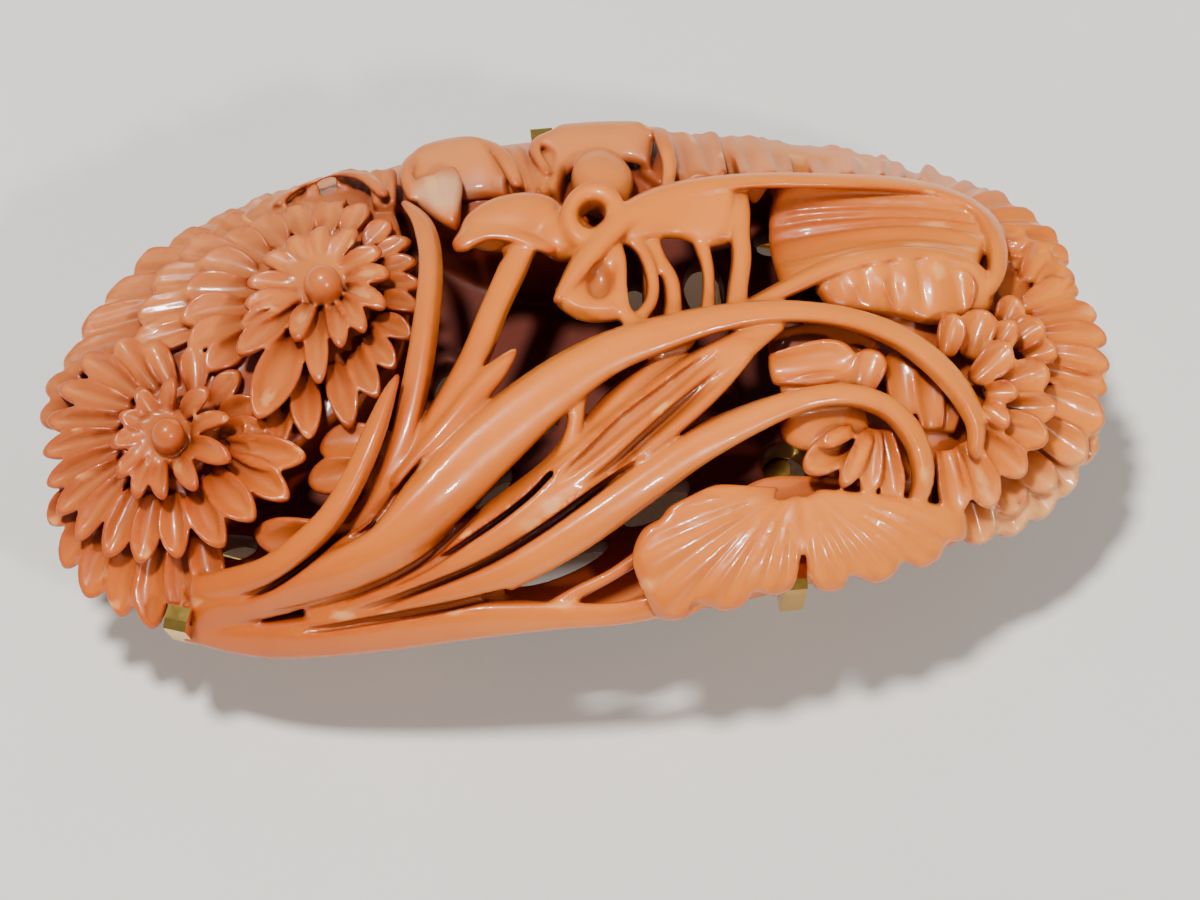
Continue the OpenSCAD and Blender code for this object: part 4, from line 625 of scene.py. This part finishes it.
ALMOND_LEAF = [
    [(-1, 0.8, -0.3), (-0.9, 1, -0.3), (-0.7, 1.3, -0.2)],
    [(0, -0.3, -0.4), (0.1, 1.2, -0.5), (0.2, 2.8, -0.1)],
    [(1.2, -0.6, -0.3), (1.3, 1.6, -1), (1.4, 3.8, 0)],
    [(2.2, -0.6, -0.3), (2.3, 1.8, -0.5), (2.4, 4.6, 0)]]
WEB = [
    [(2.3, 5.4, 0.2), (2.5, 4.6, -0.1), (2.8, 3.8, -0.5)],
    [(4, 6.4, 0.4), (4, 5.1, -0.1), (3.9, 4, -0.6)],
    [(5.6, 7, 0.4), (5.5, 5.4, -0.3), (5.4, 4, -0.9)],
    [(7.2, 7.3, 0.3), (7, 5.6, -0.4), (6.8, 3.4, -1)],
    [(8.6, 7.4, 0.2), (8.4, 5.8, -0.3), (8, 3.6, -0.8)]]
HOLLOW_LEAF = [
    [(10.9, 7.7, -0.6), (10.4, 6, -2.4), (10.2, 4.4, -3.2), (10.1, 2.8, -3.2), (10.2, 0.4, -1.8)],
    [(12.6, 7.8, -0.3), (12.3, 6.4, -1.6), (12.2, 4.8, -2.4), (12.2, 3.2, -2.3), (12.4, 1.2, -0.8)],
    [(15, 7.8, -0.2), (15, 6.4, -1.1), (15.1, 5, -1.7), (15.2, 3.8, -1.6), (15.3, 2.2, -0.4)],
    [(17.8, 7.8, -0.2), (18, 6.4, -0.8), (18, 5.1, -1.3), (18, 4, -1.2), (17.8, 2.4, -0.3)],
    [(20.6, 6.9, -0.2), (20.9, 5.8, -0.6), (21, 4.8, -0.8), (20.8, 3.6, -0.8), (20, 2, -0.4)]]
RUFFLE = [
    [(11.6, 0.6, -0.7), (13.4, 1.8, -0.4), (15.4, 2.4, -0.3), (17.6, 2.5, -0.4), (20.2, 2, -0.6)],
    [(12, -0.1, -1), (13.6, 0.6, -0.6), (15.5, 0.9, -0.4), (17.6, 0.9, -0.4), (20.4, 0.9, -0.7)],
    [(12.4, -0.8, -1.4), (13.8, -0.8, -1.2), (15.6, -1.1, -1.1), (17.6, -1.5, -1.1), (20.4, -0.6, -1.2)]]
# Margin of the scalloped leaf, with its height over the dome, round from its upper corner
PLATE_ROOT = (9.4, -9.6)
PLATE_MARGIN = [
    (5.6, -9.5, -0.2), (4.4, -9.8, 0), (3.3, -10.2, 0.1), (2.8, -10.7, 0.1), (1.9, -11.1, 0.1),
    (1.3, -12.2, 0.1), (1.6, -13.3, 0), (2.3, -14.3, -0.1), (3.6, -14.4, -0.1), (4.3, -13.9, 0),
    (5.4, -14.2, 0), (6.5, -14, 0), (7, -13.6, 0), (8, -13.7, 0), (8.9, -13.4, 0), (9.2, -12.4, -0.1),
    (9.7, -12.4, -0.1), (10, -13.4, 0), (11.3, -13.4, 0), (11.8, -12.9, 0), (12.9, -13.1, 0),
    (13.9, -12.8, 0), (14.4, -12.3, -0.1), (15.4, -12.4, -0.1), (16.3, -12, -0.2), (16.8, -11.4, -0.3),
    (17.7, -11.2, -0.4), (17.9, -10.2, -0.6)]

# Masses under the flowers and leaves. Columns: depth under the dome, outline
BEDS = [
    (2, [(-25, -1), (-24.2, -6), (-20.6, -9.8), (-18.6, -8), (-14.6, -5.4), (-9.8, -2.6), (-7.8, 3),
         (-8.8, 10.6), (-12, 12), (-18, 9.6), (-23, 5)]),
    (2.1, [(12, -0.6), (9.6, -3.4), (10.8, -7.4), (11.8, -9.2), (17.2, -8.8), (22, -6.2), (25, -2), (23, 5.2),
           (21.2, 7.6), (19, 1.6)]),
    (2.9, [(-8.2, 8.6), (-3.6, 5), (0.6, 4), (5, 8.2), (6, 12.8), (2, 13.4), (-5, 13.2), (-9, 11.8)]),
    (2, [(5, 8.2), (14, 8.2), (22, 6.6), (17, 11.4), (10, 12.9), (5, 13.2)]),
    (2.9, [(11.6, 6), (10.6, 1.6), (16, 2.4), (21, 3), (20.6, 6.4), (14, 7)]),
    (2.4, [(3.7, -0.8), (3.8, 3.8), (4.6, 3.8), (5, -0.8)]),
    (1.6, [(12, -1), (13, 1.2), (16, 1.8), (19.6, 1.6), (20, -0.4), (17, -1.6), (14, -1.2)]),
    (1.6, [(-20.4, -9.8), (-16, -11.4), (-6, -12.2), (-5, -11.7), (-10.5, -10.8), (-18.4, -10.1)]),
    (1.8, [(4.4, -11.6), (10, -11.1), (15, -10), (14.4, -9.4), (9, -8.9), (6.6, -9.6), (4.4, -10.4)])]

FLOOR = [
    (-24.4, 0), (-23.6, -4.4), (-20.4, -8.4), (-16, -10.6), (-10, -11.8), (-3, -12.3), (4, -12), (11, -10.9),
    (17, -9.2), (21.4, -6.6), (24.2, -3.2), (24.6, 1), (23, 6), (19, 10), (12.5, 12.6), (5, 13.5), (-3, 13.5),
    (-10, 12.3), (-16, 10.3), (-21, 7), (-24, 3.2)]
# Holes through the floor. Columns: x, y, half lengths along x and y, turn
HOLES = [
    (3.6, 5.7, 0.7, 1.2, 5), (7, 5.9, 1, 1.8, 0), (10.6, 8.3, 0.8, 0.8, 0), (9.7, -4.9, 1.1, 1.2, 0),
    (-17.4, -6.8, 1.2, 0.7, 8), (-6.4, 1.4, 0.6, 1.4, -12), (-1.7, -1.2, 0.8, 0.6, 50),
    (-1.8, -9.3, 2.6, 0.7, 20), (-4.6, -4.8, 1.4, 0.5, 45), (7.4, -2, 0.9, 0.5, 40),
    (3.2, -6.4, 2, 0.8, 30)]


# How each group of petals is cut
PETAL_GROUPS = [
    (UPPER_OUTER + UPPER_MIDDLE, dict(thick=0.45, full=0.75, narrow=0.5, lines=3)),
    (LOWER_UNDER + UPPER_UNDER, dict(full=0.55, power=1.7, lines=1)),
    (LOWER_SPOONS + UPPER_SPOONS, dict(full=0.55, power=1.7, rim=0.12, lines=1)),
    (LOWER_BUDS + UPPER_BUDS, dict(narrow=0.6, full=0.5, bow=0.2)),
    (RIGHT_FAR + RIGHT_NEAR + LOBES, dict(thick=0.45, narrow=0.6, bow=0.2, rim=0.06, power=1.8, lines=1)),
    (RIGHT_RIM, dict(thick=0.6, full=0.75, narrow=0.6, lines=2)),
    (CURLED + FOLDED, dict(thick=0.5, narrow=0.7, bow=0.2)),
    (FAR_PLATES, dict(thick=0.6, narrow=0.8, full=0.8, keel=0.8, lines=2)),
    (FOLDS, dict(thick=0.7, narrow=0.5, full=0.7, rim=0, keel=0.8)),
    (BUDS, dict(thick=0.9, narrow=0.7, full=0.45, rim=0, power=1.5, keel=1)),
    (KITES, dict(thick=0.7, narrow=0.9, full=0.25, rim=0.05, lines=2, power=1.3, keel=0.6))]

# Flower hearts and their stalks. Columns: x, y, height over the dome, half lengths, turn, blend
HEARTS = [
    (-20, -3.4, -0.1, (0.85, 0.85, 0.95), 0, 0.1), (-20, -3.4, -1.1, (0.7, 0.7, 1), 0, 0.2),
    (-20, -3.4, -1.5, (2.2, 2, 0.9), 0, 0.2), (-12, 3.4, 0, (0.95, 0.95, 1.1), 0, 0.1),
    (-12, 3.4, -1.2, (0.75, 0.75, 1.1), 0, 0.2), (-12, 3.4, -1.6, (2.2, 2, 0.9), 0, 0.2)]
# The cap on the stem and the mass beside it, in the same columns
CAPS = [(-2.5, 6, -0.7, (2.6, 1.5, 1.1), 10, 0.3), (0, 4.6, -0.9, (1.4, 1.3, 0.9), 0, 0.4)]
# Hollows, in the same columns
FLOWER_PITS = [(-11.3, 10.6, -0.6, (1.8, 0.9, 1), 0, 0.2)]
LEAF_PITS = [
    (-3.6, 4.1, -0.5, (0.6, 0.5, 0.6), 0, 0.2), (1.3, 1.7, -0.2, (0.6, 1, 0.6), -10, 0.2),
    (0.4, -0.5, -0.2, (0.8, 0.35, 0.6), -30, 0.2)]


def scalloped_plate():
    """Rows of points from the plate's root to its margin, a little raised between them."""
    root = np.array([*PLATE_ROOT, -0.6])
    rows = []
    for f in (0.12, 0.4, 0.7, 1):
        lift = np.array([0, 0, 0.5 * f * (1 - f)])
        rows.append([root + (np.array(p) - root) * f + lift for p in PLATE_MARGIN])
    return rows


# Leaf faces, and how each is cut
SHEETS = [
    (LEFT_HOOD, dict(thick=0.7)), (RIGHT_HOOD, dict(thick=0.7)), (ALMOND_LEAF, dict(thick=1)),
    (WEB, dict(thick=0.9)), (HOLLOW_LEAF, dict(n=6, flutes=6, flute=0.35)),
    (RUFFLE, dict(thick=1, n=6, flutes=6, flute=0.35)),
    (scalloped_plate(), dict(n=4, flutes=22, flute=0.24))]


def pierced_floor():
    block = Block()
    w = block.window((-26, -15, BACK_Z - 0.4), (26, 15, BACK_Z + FLOOR_T + FAR))
    x, y, z = grids(w)
    side = outline_field(x[:, :, 0], y[:, :, 0] - CORAL_Y, closed(FLOOR))[:, :, None]
    block.add(w, rounded(side, np.abs(z - BACK_Z - FLOOR_T / 2) - FLOOR_T / 2, 0.2))
    for depth, outline in BEDS:
        bed(block, outline, depth)
    for row in HOLES:
        hole(block, *row)
    return block


def flower_block():
    block = Block()
    for rows, form in PETAL_GROUPS:
        for row in rows:
            petal(block, row, **form)
    for *place, blend in HEARTS:
        block.add(*egg(block, *place), blend)
    for *place, blend in FLOWER_PITS:
        block.cut(*egg(block, *place), blend)
    return block


def leaf_block():
    block = Block()
    for rows in BLADES.values():
        blade(block, rows)
    for rows in GROOVES:
        blade(block, rows, crown=0, groove=True)
    for rows, form in SHEETS:
        sheet(block, rows, **form)
    for *place, blend in CAPS:
        block.add(*egg(block, *place), blend)
    for *place, blend in LEAF_PITS:
        block.cut(*egg(block, *place), blend)
    ring(block, 1.35, 5.9, 0.2, (1.1, 1.45), 0.45, -20, 0.2)
    return block


def carve_coral():
    block = pierced_floor()
    block.join(flower_block(), 0.08)
    block.join(leaf_block(), 0.1)
    return block


def soften(field):
    """Rounds the sharpest edges a little."""
    for axis in range(3):
        f = np.moveaxis(field, axis, 0)
        f[1:-1] = 0.5 * f[1:-1] + 0.25 * (f[:-2] + f[2:])
    return field


def skin_of(block, name, limit):
    """One closed mesh round a block, with no more triangles than the limit."""
    grid = openvdb.FloatGrid(FAR)
    grid.copyFromArray(soften(np.clip(block.far, -FAR, FAR)))
    points, _, quads = grid.convertToPolygons(isovalue=0.0, adaptivity=0.0)
    points = (points * STEP + LOW) * MM
    mesh = bpy.data.meshes.new(name)
    mesh.vertices.add(len(points))
    mesh.vertices.foreach_set("co", points.astype(np.float32).ravel())
    mesh.loops.add(quads.size)
    mesh.loops.foreach_set("vertex_index", quads[:, ::-1].astype(np.int32).ravel())
    mesh.polygons.add(len(quads))
    mesh.polygons.foreach_set("loop_start", np.arange(0, quads.size, 4, dtype=np.int32))
    mesh.update(calc_edges=True)
    mesh.validate()
    ob = bpy.data.objects.new(name, mesh)
    bpy.context.scene.collection.objects.link(ob)
    if 2 * len(quads) > limit:
        fewer = ob.modifiers.new("fewer", "DECIMATE")
        fewer.ratio = limit / (2 * len(quads))
        solid = ob.evaluated_get(bpy.context.evaluated_depsgraph_get())
        mesh = bpy.data.meshes.new_from_object(solid)
        ob.modifiers.clear()
        ob.data = mesh
        mesh.name = name
    mesh.shade_smooth()
    return ob


MOST_TRIANGLES = 190000
coral = skin_of(carve_coral(), "coral_relief", MOST_TRIANGLES)
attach(coral, "root")
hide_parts("coral_carving")


# Materials
class Maker:
    """Adds nodes to a material; its values are Sockets."""

    def __init__(self, name):
        self.material = bpy.data.materials.new(name)
        self.material.use_nodes = True
        self.tree = self.material.node_tree
        self.tree.nodes.clear()

    def node(self, kind, settings=None, **values):
        made = self.tree.nodes.new(kind)
        for key, value in (settings or {}).items():
            setattr(made, key, value)
        for key, value in values.items():
            socket = made.inputs[int(key[1:])] if key[0] == "_" else made.inputs[key.replace("_", " ")]
            if isinstance(value, Socket):
                self.tree.links.new(value.out, socket)
            else:
                socket.default_value = value
        return made

    def out(self, made, name=0):
        return Socket(self, made.outputs[name])


class Socket:
    """A shader value with Python's operators."""

    def __init__(self, maker, out):
        self.maker, self.out = maker, out

    def do(self, operation, *values):
        named = {f"_{i}": v for i, v in enumerate(values)}
        return self.maker.out(self.maker.node("ShaderNodeMath", {"operation": operation}, **named))

    def __add__(self, v):
        return self.do("ADD", self, v)

    def __sub__(self, v):
        return self.do("SUBTRACT", self, v)

    def __mul__(self, v):
        return self.do("MULTIPLY", self, v)

    def __truediv__(self, v):
        return self.do("DIVIDE", self, v)

    def __pow__(self, v):
        return self.do("POWER", self, v)

    def __rsub__(self, v):
        return self.do("SUBTRACT", v, self)

    __radd__ = __add__
    __rmul__ = __mul__

    def clamp(self):
        return self.do("MINIMUM", self.do("MAXIMUM", self, 0.0), 1.0)

    def span(self, low, high):
        return ((self - low) / (high - low)).clamp()


def blend_colour(m, share, a, b):
    made = m.node("ShaderNodeMix", {"data_type": "RGBA"})
    for socket, value in ((made.inputs[0], share), (made.inputs[6], a), (made.inputs[7], b)):
        if isinstance(value, Socket):
            m.tree.links.new(value.out, socket)
        else:
            socket.default_value = (*value, 1) if isinstance(value, tuple) else value
    return Socket(m, made.outputs[2])


def noise(m, place, size, detail=3.0):
    made = m.node("ShaderNodeTexNoise", {}, Vector=place, Scale=size, Detail=detail)
    return m.out(made, 0)


# Colours of the coral, among them colours of painted shade and painted highlights
ORANGE = (0.74, 0.19, 0.018)
RED_ORANGE = (0.6, 0.12, 0.008)
# Painted light: the right side made lighter, as where more light falls
PAINTED_LIGHT_ORANGE = (0.94, 0.31, 0.04)
PALE = (0.62, 0.25, 0.09)
# Painted shade, for the lower left and the inside of the hollow leaf
PAINTED_SHADE_ORANGE = (0.46, 0.085, 0.008)
WHITISH = (0.75, 0.58, 0.38)
# The pale rim at the lower right: partly the coral's own cream edge, partly a painted highlight
CREAM_AND_HIGHLIGHT = (0.85, 0.52, 0.22)
# Painted highlight on convex edges and ridges
PAINTED_EDGE_HIGHLIGHT = (0.9, 0.45, 0.16)
# Painted shade in concave creases
PAINTED_CREASE_SHADE = (0.34, 0.035, 0.004)
# Painted shade where nearby surfaces hide a point
PAINTED_HOLLOW_SHADE = (0.3, 0.022, 0.002)
# Painted shade in recesses, darker the deeper they lie under the dome
PAINTED_DEPTH_SHADE = (0.24, 0.02, 0.003)
PAINTED_DEEPEST_SHADE = (0.06, 0.008, 0.002)
# Painted shade in the innermost hollows
PAINTED_INNERMOST_SHADE = (0.05, 0.006, 0.002)


def coral_finish():
    m = Maker("polished_coral")
    geometry = m.node("ShaderNodeNewGeometry")
    place, edge = m.out(geometry, "Position"), m.out(geometry, "Pointiness")
    parts = m.node("ShaderNodeSeparateXYZ", {}, Vector=place)
    x, y, z = (m.out(parts, k) * 1000 for k in range(3))
    y = y - CORAL_Y

    def dome(at):
        inside = 1 - (x / DOME_A) ** 2 - (at / DOME_B) ** 2
        root = inside.do("MAXIMUM", inside, DOME_EDGE) ** 0.5
        fall = inside.do("MINIMUM", inside - DOME_EDGE, 0.0) / EDGE_FALL
        return (root + fall) * DOME_RISE + RIM_Z

    seen = y + (z - dome(y)) * LEAN
    depth = dome(seen) - z
    within = (1 - (x / DOME_A) ** 2 - (y / DOME_B) ** 2).span(0.05, 0.25)
    depth_share = depth.span(0.9, 4.0) * within
    far_side = seen.span(5.0, 12.0)
    # painted shade: how far nearby surfaces hide each point, from ambient occlusion
    occlusion_shade = 1.0 - m.out(m.node("ShaderNodeAmbientOcclusion", {"samples": 3}, Distance=0.002), "AO")
    cloud = noise(m, place, 90.0, 4.0)
    fine = noise(m, place, 900.0, 4.0)
    top = blend_colour(m, cloud.span(0.35, 0.65), ORANGE, RED_ORANGE)
    # painted light: lighter orange towards the right, where more light falls
    top = blend_colour(m, (x + 6.0).span(-14.0, 26.0) * 0.6, top, PAINTED_LIGHT_ORANGE)
    pale = ((x * -0.03 + y * 0.06) + (cloud - 0.5) * 1.2).span(0.1, 0.9)
    top = blend_colour(m, pale * 0.65, top, PALE)
    # painted shade: darker towards the lower left, away from the light
    left_low_shade = (x * -0.05 - y * 0.04).span(0.6, 1.5) * 0.35
    # painted shade inside the concave hollow leaf
    hollow_leaf_shade = (1.2 - (((x - 15.5) / 6) ** 2.0 + ((seen - 5) / 2.4) ** 2.0)).clamp() * 0.4
    top = blend_colour(m, left_low_shade + hollow_leaf_shade, top, PAINTED_SHADE_ORANGE)
    white_spot = (1.9 - ((x + 5.6) ** 2.0 + (seen - 8.8) ** 2.0) ** 0.5).clamp()
    top = blend_colour(m, white_spot * 0.5, top, WHITISH)
    # pale rim at the lower right: partly cream coral, partly a painted highlight along its lit edge
    cream_and_highlight = ((x * 0.55 - y * 0.83 - 17.8) / 1.6).clamp() * ((x - 17.4) / 1.0).clamp()
    top = blend_colour(m, cream_and_highlight * 0.6, top, CREAM_AND_HIGHLIGHT)
    # painted highlight: lighter on convex edges and ridges, found by their pointiness
    top = blend_colour(m, edge.span(0.51, 0.6) * 0.6, top, PAINTED_EDGE_HIGHLIGHT)
    # painted shade: darker in concave creases, found by their pointiness
    top = blend_colour(m, (1.0 - edge).span(0.505, 0.58) * 0.8, top, PAINTED_CREASE_SHADE)
    # painted shade: darker where nearby surfaces hide a point
    top = blend_colour(m, occlusion_shade.span(0.05, 0.65) * 0.85, top, PAINTED_HOLLOW_SHADE)
    # painted shade: darker and redder the deeper a point lies under the dome
    colour = blend_colour(m, depth_share, top, PAINTED_DEPTH_SHADE)
    # painted shade: darkest in the deepest recesses
    colour = blend_colour(m, depth.span(2.8, 5.6) * within * 0.8, colour, PAINTED_DEEPEST_SHADE)
    # painted shade: darkest in the innermost hollows
    colour = blend_colour(m, occlusion_shade.span(0.45, 0.95) * 0.85, colour, PAINTED_INNERMOST_SHADE)
    shader = m.node("ShaderNodeBsdfPrincipled")
    m.tree.links.new(colour.out, shader.inputs["Base Color"])
    roughness = 0.24 + fine * 0.16 + depth_share * 0.3 + far_side * 0.15
    m.tree.links.new(roughness.out, shader.inputs["Roughness"])
    coat = 0.36 - depth_share * 0.2 - far_side * 0.2
    m.tree.links.new(coat.out, shader.inputs["Coat Weight"])
    shader.inputs["IOR"].default_value = 1.45
    shader.inputs["Specular IOR Level"].default_value = 0.35
    shader.inputs["Subsurface Weight"].default_value = 0.3
    shader.inputs["Subsurface Radius"].default_value = (1.0, 0.28, 0.12)
    shader.inputs["Subsurface Scale"].default_value = 0.0009
    shader.inputs["Coat Roughness"].default_value = 0.04
    height = noise(m, place, 450.0, 2.0) + noise(m, place, 1400.0, 3.0) * 0.3
    bump = m.node("ShaderNodeBump", {}, Height=height, Strength=0.3, Distance=0.0001)
    m.tree.links.new(bump.outputs[0], shader.inputs["Normal"])
    out = m.node("ShaderNodeOutputMaterial")
    m.tree.links.new(shader.outputs[0], out.inputs[0])
    return m.material


def gold_finish():
    m = Maker("polished_gold")
    place = m.out(m.node("ShaderNodeNewGeometry"), "Position")
    cloud = noise(m, place, 300.0)
    fine = noise(m, place, 2500.0)
    colour = blend_colour(m, cloud.span(0.3, 0.7), (1.0, 0.68, 0.18), (0.9, 0.52, 0.09))
    shader = m.node("ShaderNodeBsdfPrincipled")
    m.tree.links.new(colour.out, shader.inputs["Base Color"])
    m.tree.links.new((0.12 + fine * 0.2).out, shader.inputs["Roughness"])
    shader.inputs["Metallic"].default_value = 1.0
    bump = m.node("ShaderNodeBump", {}, Height=fine, Strength=0.1, Distance=0.00005)
    m.tree.links.new(bump.outputs[0], shader.inputs["Normal"])
    out = m.node("ShaderNodeOutputMaterial")
    m.tree.links.new(shader.outputs[0], out.inputs[0])
    return m.material


def table_finish():
    m = Maker("pale_table")
    place = m.out(m.node("ShaderNodeNewGeometry"), "Position")
    colour = blend_colour(m, noise(m, place, 60.0), (0.72, 0.71, 0.69), (0.78, 0.77, 0.75))
    shader = m.node("ShaderNodeBsdfPrincipled")
    m.tree.links.new(colour.out, shader.inputs["Base Color"])
    shader.inputs["Roughness"].default_value = 0.75
    out = m.node("ShaderNodeOutputMaterial")
    m.tree.links.new(shader.outputs[0], out.inputs[0])
    return m.material


coral.data.materials.clear()
coral.data.materials.append(coral_finish())
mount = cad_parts["mount_frame"]
mount.data.materials.clear()
mount.data.materials.append(gold_finish())
soft = mount.modifiers.new("soft_edges", "BEVEL")
soft.width = 0.12 * MM
soft.segments = 2
soft.limit_method = "ANGLE"

# Table, light and camera
bpy.ops.mesh.primitive_plane_add(size=3, location=(0, 0, -0.0002))
table = bpy.context.object
table.name = "table"
table.data.materials.append(table_finish())
put_camera()
put_light("window", (-0.12, 0.0, 0.54), (0, 0, 0.01), 0.07, 4.3, (1.0, 0.97, 0.92))
put_light("front", (0.24, -0.4, 0.38), (0, 0, 0.01), 0.05, 1.9, (1.0, 0.96, 0.9))
world = bpy.data.worlds.new("studio")
world.use_nodes = True
world.node_tree.nodes["Background"].inputs[0].default_value = (0.9, 0.92, 0.95, 1)
world.node_tree.nodes["Background"].inputs[1].default_value = 0.2
bpy.context.scene.world = world
